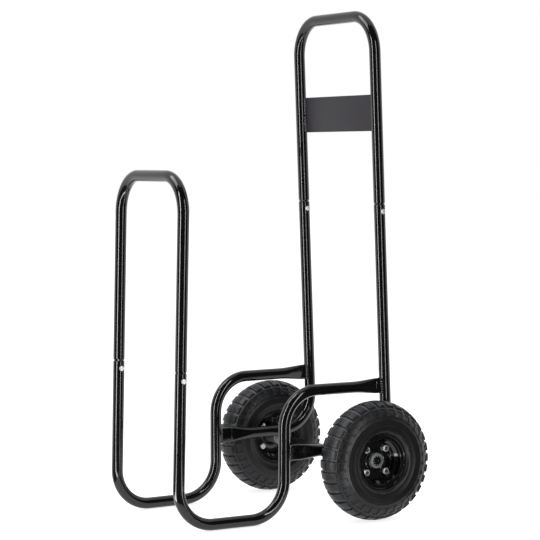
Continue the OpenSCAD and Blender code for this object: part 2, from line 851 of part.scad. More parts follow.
module rollers(d, h) {
    for (i = [1:roller_count]) rotate([0, 0, i * 360 / roller_count])
        translate([roller_c, 0, (bearing_len - h) / 2]) cylinder(d = d, h = h);
}

roller_len = bearing_len - 2 * cage_end;

module bearing_cages() {
    color("#33363a") at_bearings() difference() {
        ring(bearing_od - 2 * cage_gap, axle_d + 2 * cage_gap, bearing_len);
        rollers(roller_d + 2 * pocket_fit, roller_len + 2 * pocket_fit);
    }
}
module bearing_rollers() { color("#b9bec2") at_bearings() rollers(roller_d, roller_len); }

// ---- The pieces ----

front_hoop();
handle_hoop();
back_plate();
plate_welds();
side_tube(1);  // right_side_tube
side_tube(-1);  // left_side_tube
upright(1);  // right_upright
upright(-1);  // left_upright
frame_welds(1);  // right_frame_welds
frame_welds(-1);  // left_frame_welds
axle();
axle_welds();
front_joint_bolts();
front_joint_nuts();
rear_joint_bolts();
rear_joint_nuts();
axle_washers();
axle_retainers();
wheel(1) tyre();  // right_tyre
wheel(1) inner_tube();  // right_inner_tube
wheel(1) outer_rim();  // right_outer_rim
wheel(1) inner_rim();  // right_inner_rim
wheel(1) hub();  // right_hub
wheel(1) hub_weld();  // right_hub_weld
wheel(1) bearing_cages();  // right_bearing_cages
wheel(1) bearing_rollers();  // right_bearing_rollers
wheel(1) rim_bolts();  // right_rim_bolts
wheel(1) rim_nuts();  // right_rim_nuts
wheel(1) valve_stem();  // right_valve_stem
wheel(1) valve_cap();  // right_valve_cap
wheel(-1) tyre();  // left_tyre
wheel(-1) inner_tube();  // left_inner_tube
wheel(-1) outer_rim();  // left_outer_rim
wheel(-1) inner_rim();  // left_inner_rim
wheel(-1) hub();  // left_hub
wheel(-1) hub_weld();  // left_hub_weld
wheel(-1) bearing_cages();  // left_bearing_cages
wheel(-1) bearing_rollers();  // left_bearing_rollers
wheel(-1) rim_bolts();  // left_rim_bolts
wheel(-1) rim_nuts();  // left_rim_nuts
wheel(-1) valve_stem();  // left_valve_stem
wheel(-1) valve_cap();  // left_valve_cap
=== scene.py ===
"""Fireside log cart: bent black tube, two plug-in hoops, a back plate and two air-filled wheels."""
import math

import bmesh
import bpy
from mathutils import Matrix, Vector


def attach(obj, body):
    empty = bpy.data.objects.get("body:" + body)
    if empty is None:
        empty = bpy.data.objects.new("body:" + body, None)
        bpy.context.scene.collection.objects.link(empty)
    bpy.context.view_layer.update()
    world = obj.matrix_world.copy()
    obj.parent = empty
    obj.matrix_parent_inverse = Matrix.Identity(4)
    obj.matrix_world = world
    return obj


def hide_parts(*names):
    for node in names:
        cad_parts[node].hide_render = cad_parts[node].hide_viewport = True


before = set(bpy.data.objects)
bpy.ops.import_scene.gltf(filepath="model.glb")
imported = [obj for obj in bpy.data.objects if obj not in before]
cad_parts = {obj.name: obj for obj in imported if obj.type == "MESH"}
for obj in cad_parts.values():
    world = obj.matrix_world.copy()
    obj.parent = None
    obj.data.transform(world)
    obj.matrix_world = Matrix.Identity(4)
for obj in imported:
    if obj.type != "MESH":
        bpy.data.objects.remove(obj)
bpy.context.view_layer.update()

# ---- Sizes in millimetres, the same as in the solid model ----

MM = 0.001
TUBE_R, BORE_R, BEND_R = 12.5, 11.0, 80.0
FRONT_X, REAR_X = 145.0, 157.0
SEAM_FRONT, SEAM_REAR, SEAM_REAR_Y = 336.0, 682.0, 495.0
FOOT_LEN, RAIL_Z, AXLE_Y, AXLE_Z, AXLE_R = 255.0, 283.0, 442.0, 130.0, 8.0
FRONT_LEAN, REAR_LEAN = math.radians(1.25), math.radians(2.25)
FRONT_TOP, REAR_TOP = 746.0, 1096.0
SPIGOT_R, SPIGOT_BORE, SPIGOT_LEN, NECK, SHOULDER = 10.8, 9.3, 60.0, 1.5, 5.0
PRESS_H, PRESS_T, PRESS_RUN, RAIL_FLAT, STAY_FLAT = 34.0, 9.23, 60.0, 12.0, 28.0
# The faint ridge that the press leaves: length and thickness of each step along the tube.
JAW_MARK = ((0.7, 1.08), (0.9, 1.0), (0.7, 1 / 1.13), (0.01, 1.0))
PLATE_LOW, PLATE_H, PLATE_T, PLATE_BACK, PLATE_FIT = 843.0, 80.0, 2.0, 5.0, 0.25
STITCH_R, STITCH_LEN = 4.4, 38.5
JOINT_BOLT, BOLT_DROP, RIM_BOLT, BOLT_CIRCLE_R = 6.0, 15.0, 8.0, 35.0
BOLT_TAIL, RIM_T = 1.5, 2.0
WHEEL_X = 221.0
HUB_R, HUB_OUT, HUB_IN = 16.5, 9.0, -46.0
AXLE_TAIL, WASHER_T = 4.0, 3.0

TOE = math.atan((REAR_X - FRONT_X) / SEAM_REAR_Y)
STAY_Z = AXLE_Z + AXLE_R + TUBE_R
FRONT_REACH = BEND_R + TUBE_R - BEND_R * math.tan((math.pi / 2 + FRONT_LEAN) / 2)
MID_Y = (AXLE_Y + AXLE_Z - FRONT_REACH) / 2


def front_s(z):
    return (z - TUBE_R) * math.tan(FRONT_LEAN)


def rear_s(z):
    return SEAM_REAR_Y / math.cos(TOE) + (SEAM_REAR - z) * math.tan(REAR_LEAN)


FRONT_LEG_X = FRONT_X + front_s(SEAM_FRONT) * math.sin(TOE)
FRONT_LEG_Y = front_s(SEAM_FRONT) * math.cos(TOE)


# ---- Where things stand: from a drawing plane in millimetres to the cart in metres ----

def stand(x_to, y_to, z_to, at):
    """The matrix that lays a drawing's axes along these directions, its origin at a place."""
    turned = Matrix((x_to, y_to, z_to)).transposed().to_4x4()
    spot = Vector((at[0], at[1] - MID_Y, at[2])) * MM
    return Matrix.Translation(spot) @ turned @ Matrix.Scale(MM, 4)


def side_plane(side):
    """Drawing plane of a side frame: X runs back and Y runs up."""
    return stand((side * math.sin(TOE), math.cos(TOE), 0), (0, 0, 1),
                 (math.cos(TOE), -side * math.sin(TOE), 0), (side * FRONT_X, 0, 0))


def hoop_plane(lean, at):
    """Drawing plane of a hoop: X across and Y up its legs, from the seam."""
    return stand((1, 0, 0), (0, math.sin(lean), math.cos(lean)),
                 (0, -math.cos(lean), math.sin(lean)), at)


def across(side, at):
    """Drawing of something along X: its Z axis points out of the cart on that side."""
    return stand((0, 0, -1), (0, side, 0), (side, 0, 0), at)


FRONT_PLANE = hoop_plane(FRONT_LEAN, (0, FRONT_LEG_Y, SEAM_FRONT))
HANDLE_PLANE = hoop_plane(-REAR_LEAN, (0, SEAM_REAR_Y, SEAM_REAR))


def wheel_place(side):
    return across(side, (side * WHEEL_X, AXLE_Y, AXLE_Z))


# ---- Bench: the steps that every piece is made with ----

def alone(*pieces):
    """Leaves only these pieces selected, the first one active."""
    bpy.ops.object.select_all(action="DESELECT")
    for piece in pieces:
        piece.select_set(True)
    bpy.context.view_layer.objects.active = pieces[0]


def new_piece(name):
    """Names what was just added, settles it, and opens it in edit mode with all of it selected."""
    piece = bpy.context.object
    piece.name = piece.data.name = name
    bpy.ops.object.transform_apply(location=True, rotation=True, scale=True)
    bpy.ops.object.mode_set(mode="EDIT")
    bpy.ops.mesh.select_mode(type="VERT")
    bpy.ops.mesh.select_all(action="SELECT")
    return piece


def leave():
    bpy.ops.object.mode_set(mode="OBJECT")


def pick(piece, wanted):
    """Selects, in edit mode, the points that the test picks."""
    points = bmesh.from_edit_mesh(piece.data)
    for point in points.verts:
        point.select_set(False)
    points.select_flush(False)
    for point in points.verts:
        if wanted(point):
            point.select_set(True)
    points.select_flush_mode()
    bmesh.update_edit_mesh(piece.data)


def picked(piece):
    return [p for p in bmesh.from_edit_mesh(piece.data).verts if p.select]


def run_on(step):
    bpy.ops.mesh.extrude_region_move(TRANSFORM_OT_translate={"value": tuple(step)})


def widen(factor, centre):
    bpy.ops.transform.resize(value=(factor, factor, factor), center_override=tuple(centre))


def swing(centre, turn, steps, axis=(0, 0, 1)):
    """Carries the selected ring round a centre; a positive turn is anticlockwise about the axis."""
    bpy.ops.mesh.spin(steps=steps, angle=-turn, center=tuple(centre), axis=axis)


def closed_up(piece, merge=0.005):
    """Merges doubled points, turns all faces outwards and goes back to object mode."""
    bpy.ops.mesh.select_all(action="SELECT")
    bpy.ops.mesh.remove_doubles(threshold=merge)
    bpy.ops.mesh.normals_make_consistent(inside=False)
    leave()
    return piece


def settle(piece, place, smooth=35):
    """Puts a finished drawing in its place on the cart, with its place in its mesh."""
    alone(piece)
    piece.matrix_world = place @ piece.matrix_world
    bpy.ops.object.transform_apply(location=True, rotation=True, scale=True)
    bpy.ops.object.shade_smooth_by_angle(angle=math.radians(smooth))
    return piece


def copy_of(piece, name):
    twin = piece.copy()
    twin.data = piece.data.copy()
    twin.name = twin.data.name = name
    bpy.context.scene.collection.objects.link(twin)
    return twin


def joined(name, pieces):
    alone(*pieces)
    bpy.ops.object.join()
    whole = bpy.context.object
    whole.name = whole.data.name = name
    return whole


def throw_away(piece):
    bpy.data.objects.remove(piece, do_unlink=True)


def apply_all(piece):
    alone(piece)
    for modifier in list(piece.modifiers):
        bpy.ops.object.modifier_apply(modifier=modifier.name)


def break_edges(piece, width, angle=30, segments=2):
    """Rounds every edge sharper than the angle."""
    soft = piece.modifiers.new("broken_edges", "BEVEL")
    soft.width, soft.segments = width, segments
    soft.limit_method, soft.angle_limit = "ANGLE", math.radians(angle)
    soft.use_clamp_overlap = True
    apply_all(piece)


def cut(piece, tool, operation):
    """One boolean step with a throw-away tool."""
    step = piece.modifiers.new("cut", "BOOLEAN")
    step.operation, step.solver, step.object = operation, "EXACT", tool
    apply_all(piece)
    throw_away(tool)
    return piece


# ---- Bent tubes ----

ROUND = 48
# How far the edge of a sawn tube end is rounded.
RIM_BREAK = 0.35


def ring(name, radius, at, heading, points=ROUND):
    """A ring across a tube that starts at a point of the drawing plane, heading at an angle."""
    bpy.ops.object.select_all(action="DESELECT")
    bpy.ops.mesh.primitive_circle_add(vertices=points, radius=radius, location=(at[0], at[1], 0),
                                      rotation=(0, math.pi / 2, heading))
    return new_piece(name)


def heading_of(path, i):
    step = path[i + 1] - path[i]
    return math.atan2(step.y, step.x)


def flat_vector(x, y):
    return Vector((x, y, 0))


def follow(path, here):
    """Carries the ring along the path, rounding each inner corner, and returns where it ends."""
    for i in range(1, len(path) - 1):
        before = (path[i] - path[i - 1]).normalized()
        after = (path[i + 1] - path[i]).normalized()
        turn = math.atan2(before.cross(after).z, before.dot(after))
        back = BEND_R * math.tan(abs(turn) / 2)
        start = path[i] - before * back
        run_on(start - here)
        centre = start + math.copysign(BEND_R, turn) * Vector((-before.y, before.x, 0))
        swing(centre, turn, max(8, round(math.degrees(abs(turn)) / 4)))
        here = path[i] + after * back
    run_on(path[-1] - here)
    return path[-1]


def open_mouth(centre, out, radius, bore, depth):
    """Finishes the selected ring as a tube's open mouth: broken rim, wall and bore with a floor."""
    run_on(out * RIM_BREAK)
    widen((radius - RIM_BREAK) / radius, centre)
    run_on((0, 0, 0))
    widen((bore + RIM_BREAK) / (radius - RIM_BREAK), centre)
    run_on(out * -RIM_BREAK)
    widen(bore / (bore + RIM_BREAK), centre)
    run_on(out * -depth)
    bpy.ops.mesh.edge_face_add()


def last_open_ring():
    bpy.ops.mesh.select_all(action="DESELECT")
    bpy.ops.mesh.select_non_manifold(extend=False)


def part_ring(piece, centre, by):
    """Moves the ring's upper half up and its lower half down."""
    around = [p.index for p in picked(piece)]
    for way in (1, -1):
        pick(piece, lambda p: p.index in around and (p.co.y - centre.y) * way > 0.01)
        bpy.ops.transform.translate(value=(0, way * by, 0))
    pick(piece, lambda p: p.index in around)


def press_flat(piece, centre, out, flat, into):
    """Presses the tube's end to a flat oval, with the mark that the jaws leave, and shuts it."""
    steps, onset = 14, 0.4
    radius, spread = TUBE_R, 0.0
    for j in range(1, steps + 1):
        share = j / steps
        eased = share * share / (2 * onset) if share < onset else share - onset / 2
        eased /= 1 - onset / 2
        next_radius = TUBE_R + (PRESS_T / 2 - TUBE_R) * eased
        next_spread = (PRESS_H - PRESS_T) / 2 * eased
        centre = centre + out * (PRESS_RUN / steps)
        run_on(out * (PRESS_RUN / steps))
        widen(next_radius / radius, centre)
        part_ring(piece, centre, next_spread - spread * next_radius / radius)
        radius, spread = next_radius, next_spread
    for length, swell in JAW_MARK:
        run_on(out * length)
        bpy.ops.transform.resize(value=(1, 1, swell), center_override=tuple(centre))
    run_on(out * (flat + into - sum(length for length, _ in JAW_MARK)))
    bpy.ops.mesh.edge_face_add()


def front_path():
    return [flat_vector(front_s(SEAM_FRONT), SEAM_FRONT), flat_vector(0, TUBE_R),
            flat_vector(FOOT_LEN, TUBE_R), flat_vector(FOOT_LEN, RAIL_Z),
            flat_vector(rear_s(RAIL_Z) - TUBE_R - RAIL_FLAT - PRESS_RUN, RAIL_Z)]


def rear_path():
    return [flat_vector(rear_s(SEAM_REAR), SEAM_REAR), flat_vector(rear_s(STAY_Z), STAY_Z),
            flat_vector(FOOT_LEN + TUBE_R + STAY_FLAT + PRESS_RUN, STAY_Z)]


def side_member(name, path, flat, side):
    """A tube with an open mouth at the top, bends, and a pressed end in its neighbour."""
    first = (path[0] - path[1]).normalized()
    mouth = path[0] - first * RIM_BREAK
    piece = ring(name, TUBE_R, mouth, heading_of(path, 0))
    end = follow(path, mouth)
    press_flat(piece, end, (path[-1] - path[-2]).normalized(), flat, 1.0)
    last_open_ring()
    open_mouth(mouth, first, TUBE_R, BORE_R, SPIGOT_LEN + 4)
    closed_up(piece)
    settle(piece, side_plane(side))
    return piece


def hoop(name, leg_x, rise, place):
    """A bent hoop whose two ends are drawn down to plug into the tubes below."""
    up = flat_vector(0, 1)
    steps, lead, tip_r, blind = 5, 1.0, SPIGOT_R - 0.6, 25
    shoulder = [SPIGOT_R + (TUBE_R - SPIGOT_R) * math.sin(j / steps * math.pi / 2)
                for j in range(steps + 1)]
    foot, far_foot = flat_vector(-leg_x, -SPIGOT_LEN), flat_vector(leg_x, -SPIGOT_LEN)
    piece = ring(name, tip_r, foot, math.pi / 2)
    run_on(up * lead)
    widen(SPIGOT_R / tip_r, foot)
    run_on(up * (SPIGOT_LEN - lead + NECK))
    for now, wider in zip(shoulder, shoulder[1:]):
        run_on(up * (SHOULDER / steps))
        widen(wider / now, flat_vector(-leg_x, 0))
    top = NECK + SHOULDER
    path = [flat_vector(-leg_x, top), flat_vector(-leg_x, rise), flat_vector(leg_x, rise),
            flat_vector(leg_x, top)]
    follow(path, path[0])
    for slimmer, now in reversed(list(zip(shoulder, shoulder[1:]))):
        run_on(up * (-SHOULDER / steps))
        widen(slimmer / now, flat_vector(leg_x, 0))
    run_on(up * (lead - SPIGOT_LEN - NECK))
    run_on(up * -lead)
    widen(tip_r / SPIGOT_R, far_foot)
    open_mouth(far_foot, -up, tip_r, SPIGOT_BORE, blind)
    last_open_ring()
    open_mouth(foot, -up, tip_r, SPIGOT_BORE, blind)
    closed_up(piece)
    settle(piece, place)
    return piece


# ---- Weld beads ----

def weld_bead(name, radius, length, ripples):
    """One bead along Y, laid in overlapping ripples, with a crater at its end."""
    bpy.ops.object.select_all(action="DESELECT")
    bpy.ops.mesh.primitive_circle_add(vertices=14, radius=radius * 0.35,
                                      location=(0, -length / 2, 0), rotation=(math.pi / 2, 0, 0))
    piece = new_piece(name)
    bpy.ops.mesh.edge_face_add()
    now = radius * 0.35
    here = -length / 2
    pitch = length / ripples
    for k in range(ripples):
        uneven = 1 + 0.05 * math.sin(2.7 * k + radius)
        for along, share in ((0.28, 0.97), (0.42, 1.0), (0.3, 0.76)):
            wider = radius * share * min(1.0, uneven)
            if k == ripples - 1 and share < 0.9:
                wider = radius * 0.3
            run_on((0, pitch * along, 0))
            here += pitch * along
            widen(wider / now, (0, here, 0))
            now = wider
    closed_up(piece)
    return piece


def laid(name, pattern, places):
    """Copies of one piece at several places, joined as one."""
    copies = []
    for place in places:
        twin = copy_of(pattern, name)
        copies.append(settle(twin, place))
    return joined(name, copies) if len(copies) > 1 else copies[0]


# ---- Turned pieces: a section drawn point by point, then spun about Z ----

def drawn(name, section, angle=0.0):
    """A closed wire section; its points are (distance from the axis, height)."""
    spots = [Vector((r * math.cos(angle), r * math.sin(angle), z)) for r, z in section]
    bpy.ops.object.select_all(action="DESELECT")
    bpy.ops.mesh.primitive_plane_add(size=1, location=spots[0])
    piece = new_piece(name)
    bpy.ops.mesh.merge(type="CENTER")
    for before, after in zip(spots, spots[1:] + spots[:1]):
        run_on(after - before)
    bpy.ops.mesh.select_all(action="SELECT")
    bpy.ops.mesh.remove_doubles(threshold=0.002)
    return piece


def turned(name, section, steps=96):
    piece = drawn(name, section)
    swing((0, 0, 0), math.tau, steps)
    return closed_up(piece)


# ---- Fasteners, which follow their thread's diameter ----

def hex_flats(d):
    return 1.5 * d + 1


def head_height(d):
    return 0.65 * d


def nut_height(d):
    return 0.8 * d


def hex_piece(name, across_flats, height):
    """A hexagon with the two turned chamfers that real heads and nuts have."""
    washer = 0.3
    corner = across_flats / 2 / math.cos(math.pi / 6)
    bpy.ops.object.select_all(action="DESELECT")
    bpy.ops.mesh.primitive_cylinder_add(vertices=6, radius=corner, depth=height,
                                        location=(0, 0, height / 2), rotation=(0, 0, math.pi / 6))
    piece = new_piece(name)
    leave()
    face = across_flats * 0.47
    fall = (corner + 0.2 - face) * math.tan(math.radians(30))
    barrel = turned("turned_blank", [
        (0, -0.01), (face, -0.01), (face, washer), (corner + 0.2, washer + fall * 0.4),
        (corner + 0.2, height - fall), (face, height + 0.01), (0, height + 0.01)], 48)
    return cut(piece, barrel, "INTERSECT")


def thread_section(radius, length, pitch, turns):
    """Half the outline of a shank that starts at z = 0 and has thread ridges at its far end."""
    root = radius * 0.87
    points = [(0, 0), (radius, 0), (radius, length - pitch * turns)]
    z = length - pitch * turns
    for _ in range(turns):
        points += [(root, z + pitch * 0.3), (root, z + pitch * 0.45), (radius, z + pitch * 0.8),
                   (radius, z + pitch)]
        z += pitch
    points[-1] = (root, z)
    points[-2] = (radius * 0.96, z - pitch * 0.45)
    points += [(root * 0.5, z), (root * 0.42, z - 0.25), (0, z - 0.3)]
    return points


def bolt(name, d, length):
    """Head below z = 0, shank above it."""
    across_flats, head = hex_flats(d), head_height(d)
    shank = turned("shank", thread_section(d / 2, length, d * 0.16, 5), 32)
    top = hex_piece(name, across_flats, head)
    alone(top)
    top.rotation_euler = (math.pi, 0, 0)
    bpy.ops.object.transform_apply(location=True, rotation=True, scale=True)
    dish = turned("dish", [(0, -head - 1), (across_flats * 0.33, -head - 1),
                           (across_flats * 0.30, -head + 0.35), (0, -head + 0.45)], 32)
    cut(top, dish, "DIFFERENCE")
    cut(top, shank, "UNION")
    break_edges(top, 0.12, 40)
    return top


def nut(name, d):
    height = nut_height(d)
    piece = hex_piece(name, hex_flats(d), height)
    r = d / 2 * 0.98
    sink = d * 0.08
    tap = turned("tap", [(0, -1), (r + sink + 1, -1), (r + sink, 0), (r, sink), (r, height - sink),
                         (r + sink, height), (r + sink + 1, height + 1), (0, height + 1)], 32)
    cut(piece, tap, "DIFFERENCE")
    break_edges(piece, 0.12, 40)
    return piece


# ---- Materials ----

def new_group(name, inputs, outputs):
    group = bpy.data.node_groups.new(name, "ShaderNodeTree")
    for label, kind, value in inputs:
        socket = group.interface.new_socket(name=label, in_out="INPUT", socket_type=kind)
        if value is not None:
            socket.default_value = value
    for label, kind in outputs:
        group.interface.new_socket(name=label, in_out="OUTPUT", socket_type=kind)
    return group, group.nodes.new("NodeGroupInput"), group.nodes.new("NodeGroupOutput")


def put(tree, kind, **settings):
    node = tree.nodes.new(kind)
    for key, value in settings.items():
        if key in node.inputs:
            node.inputs[key].default_value = value
        else:
            setattr(node, key, value)
    return node


FLOAT, VECTOR = "NodeSocketFloat", "NodeSocketVector"


def orange_peel_group():
    """The faint unevenness of sprayed or baked paint, as a height."""
    group, inside, out = new_group(
        "orange_peel", [("Position", VECTOR, None), ("Scale", FLOAT, 350.0)], [("Height", FLOAT)])
    fine = put(group, "ShaderNodeTexNoise", Detail=2.0, Roughness=0.45)
    group.links.new(inside.outputs["Position"], fine.inputs["Vector"])
    group.links.new(inside.outputs["Scale"], fine.inputs["Scale"])
    group.links.new(fine.outputs["Fac"], out.inputs["Height"])
    return group


def dust_group():
    """Fine dust and handling marks: a mask that is stronger on faces that look up."""
    group, inside, out = new_group(
        "settled_dust", [("Position", VECTOR, None), ("Scale", FLOAT, 40.0),
                         ("Amount", FLOAT, 0.2)], [("Mask", FLOAT)])
    cloud = put(group, "ShaderNodeTexNoise", Detail=6.0, Roughness=0.62)
    grain = put(group, "ShaderNodeTexNoise", Scale=2600.0, Detail=1.0)
    shape = put(group, "ShaderNodeMapRange", **{"From Min": 0.42, "From Max": 0.75})
    speck = put(group, "ShaderNodeMapRange", **{"From Min": 0.45, "From Max": 0.7})
    facing = group.nodes.new("ShaderNodeNewGeometry")
    split = group.nodes.new("ShaderNodeSeparateXYZ")
    lying = put(group, "ShaderNodeMapRange", **{"From Min": -0.6, "From Max": 1.0, "To Min": 0.25})
    both = put(group, "ShaderNodeMath", operation="MULTIPLY")
    third = put(group, "ShaderNodeMath", operation="MULTIPLY")
    amount = put(group, "ShaderNodeMath", operation="MULTIPLY")
    link = group.links.new
    link(inside.outputs["Position"], cloud.inputs["Vector"])
    link(inside.outputs["Scale"], cloud.inputs["Scale"])
    link(inside.outputs["Position"], grain.inputs["Vector"])
    link(cloud.outputs["Fac"], shape.inputs["Value"])
    link(grain.outputs["Fac"], speck.inputs["Value"])
    link(facing.outputs["Normal"], split.inputs["Vector"])
    link(split.outputs["Z"], lying.inputs["Value"])
    link(shape.outputs["Result"], both.inputs[0])
    link(speck.outputs["Result"], both.inputs[1])
    link(both.outputs["Value"], third.inputs[0])
    link(lying.outputs["Result"], third.inputs[1])
    link(third.outputs["Value"], amount.inputs[0])
    link(inside.outputs["Amount"], amount.inputs[1])
    link(amount.outputs["Value"], out.inputs["Mask"])
    return group


def pointiness_mask_group():
    """A mask by pointiness, broken up by noise: on raised edges for wear and painted highlight, and
    in hollows for painted shade when Start is above End.
    """
    group, inside, out = new_group(
        "pointiness_mask", [("Position", VECTOR, None), ("Scale", FLOAT, 120.0), ("Start", FLOAT, 0.52),
                      ("End", FLOAT, 0.62), ("Unbroken", FLOAT, 0.0),
                      ("Amount", FLOAT, 0.6)], [("Mask", FLOAT)])
    shape = group.nodes.new("ShaderNodeNewGeometry")
    edge = group.nodes.new("ShaderNodeMapRange")
    noise = put(group, "ShaderNodeTexNoise", Detail=5.0, Roughness=0.6)
    patch = put(group, "ShaderNodeMapRange", **{"From Min": 0.35, "From Max": 0.62})
    both = put(group, "ShaderNodeMath", operation="MULTIPLY")
    amount = put(group, "ShaderNodeMath", operation="MULTIPLY")
    link = group.links.new
    link(shape.outputs["Pointiness"], edge.inputs["Value"])
    link(inside.outputs["Start"], edge.inputs["From Min"])
    link(inside.outputs["End"], edge.inputs["From Max"])
    link(inside.outputs["Position"], noise.inputs["Vector"])
    link(inside.outputs["Scale"], noise.inputs["Scale"])
    link(noise.outputs["Fac"], patch.inputs["Value"])
    link(inside.outputs["Unbroken"], patch.inputs["To Min"])
    link(edge.outputs["Result"], both.inputs[0])
    link(patch.outputs["Result"], both.inputs[1])
    link(both.outputs["Value"], amount.inputs[0])
    link(inside.outputs["Amount"], amount.inputs[1])
    link(amount.outputs["Value"], out.inputs["Mask"])
    return group


PEEL, DUST, POINTINESS_MASK = orange_peel_group(), dust_group(), pointiness_mask_group()


def finish_of(name, colour, roughness, metallic=0.0, specular=0.5, peel=(350.0, 0.0),
              dust=(40.0, 0.0), dust_colour=(0.35, 0.34, 0.32), wear_and_highlight=(120.0, 0.52, 0.62, 0.0),
              wear_and_highlight_colour=(0.3, 0.3, 0.3), painted_hollow_shade=(30.0, 0.485, 0.44, 0.0), mottle=0.15,
              mottle_scale=25.0, rough_swing=0.08):
    """A finish: base colour with mottling, dust, worn edges that are partly a painted highlight,
    painted shade in hollows and a fine texture.

    peel is (scale, height in mm), dust (scale, amount), the worn edges with their painted highlight
    and the painted hollow shade (scale, start, end, amount).
    """
    material = bpy.data.materials.new(name)
    material.use_nodes = True
    tree = material.node_tree
    tree.nodes.clear()
    link = tree.links.new
    out = tree.nodes.new("ShaderNodeOutputMaterial")
    skin = tree.nodes.new("ShaderNodeBsdfPrincipled")
    skin.inputs["Metallic"].default_value = metallic
    skin.inputs["Specular IOR Level"].default_value = specular
    link(skin.outputs["BSDF"], out.inputs["Surface"])
    place = tree.nodes.new("ShaderNodeTexCoord").outputs["Object"]

    cloud = put(tree, "ShaderNodeTexNoise", Scale=mottle_scale, Detail=4.0, Roughness=0.55)
    link(place, cloud.inputs["Vector"])
    dark = tuple(c * (1 - mottle) for c in colour) + (1.0,)
    light = tuple(min(1.0, c * (1 + mottle)) for c in colour) + (1.0,)
    base = put(tree, "ShaderNodeMix", data_type="RGBA")
    base.inputs[6].default_value, base.inputs[7].default_value = dark, light
    link(cloud.outputs["Fac"], base.inputs[0])
    shade = base.outputs[2]

    rough = put(tree, "ShaderNodeMapRange", **{"To Min": roughness - rough_swing,
                                               "To Max": roughness + rough_swing})
    link(cloud.outputs["Fac"], rough.inputs["Value"])
    gloss = rough.outputs["Result"]

    # Painted shade in hollows, worn edges that are partly a painted highlight, and dust, each laid
    # over the colour by its mask.
    for group, values, tint, dull in ((POINTINESS_MASK, painted_hollow_shade, (0.002, 0.002, 0.002), 0.8),
                                      (POINTINESS_MASK, wear_and_highlight, wear_and_highlight_colour, roughness + 0.15),
                                      (DUST, dust, dust_colour, 0.85)):
        if values[-1] <= 0:
            continue
        effect = tree.nodes.new("ShaderNodeGroup")
        effect.node_tree = group
        link(place, effect.inputs["Position"])
        effect.inputs["Scale"].default_value = values[0]
        effect.inputs["Amount"].default_value = values[-1]
        if group is POINTINESS_MASK:
            effect.inputs["Start"].default_value, effect.inputs["End"].default_value = values[1:3]
            effect.inputs["Unbroken"].default_value = 0.8 if values is painted_hollow_shade else 0.0
        over = put(tree, "ShaderNodeMix", data_type="RGBA")
        link(effect.outputs["Mask"], over.inputs[0])
        link(shade, over.inputs[6])
        over.inputs[7].default_value = tint + (1.0,)
        shade = over.outputs[2]
        duller = put(tree, "ShaderNodeMix", data_type="FLOAT")
        link(effect.outputs["Mask"], duller.inputs[0])
        link(gloss, duller.inputs[2])
        duller.inputs[3].default_value = min(1.0, dull)
        gloss = duller.outputs[0]
    link(shade, skin.inputs["Base Color"])
    link(gloss, skin.inputs["Roughness"])

    if peel[1] > 0:
        skinned = tree.nodes.new("ShaderNodeGroup")
        skinned.node_tree = PEEL
        link(place, skinned.inputs["Position"])
        skinned.inputs["Scale"].default_value = peel[0]
        bump = put(tree, "ShaderNodeBump", Strength=1.0, Distance=peel[1] * MM)
        link(skinned.outputs["Height"], bump.inputs["Height"])
        link(bump.outputs["Normal"], skin.inputs["Normal"])
    return material


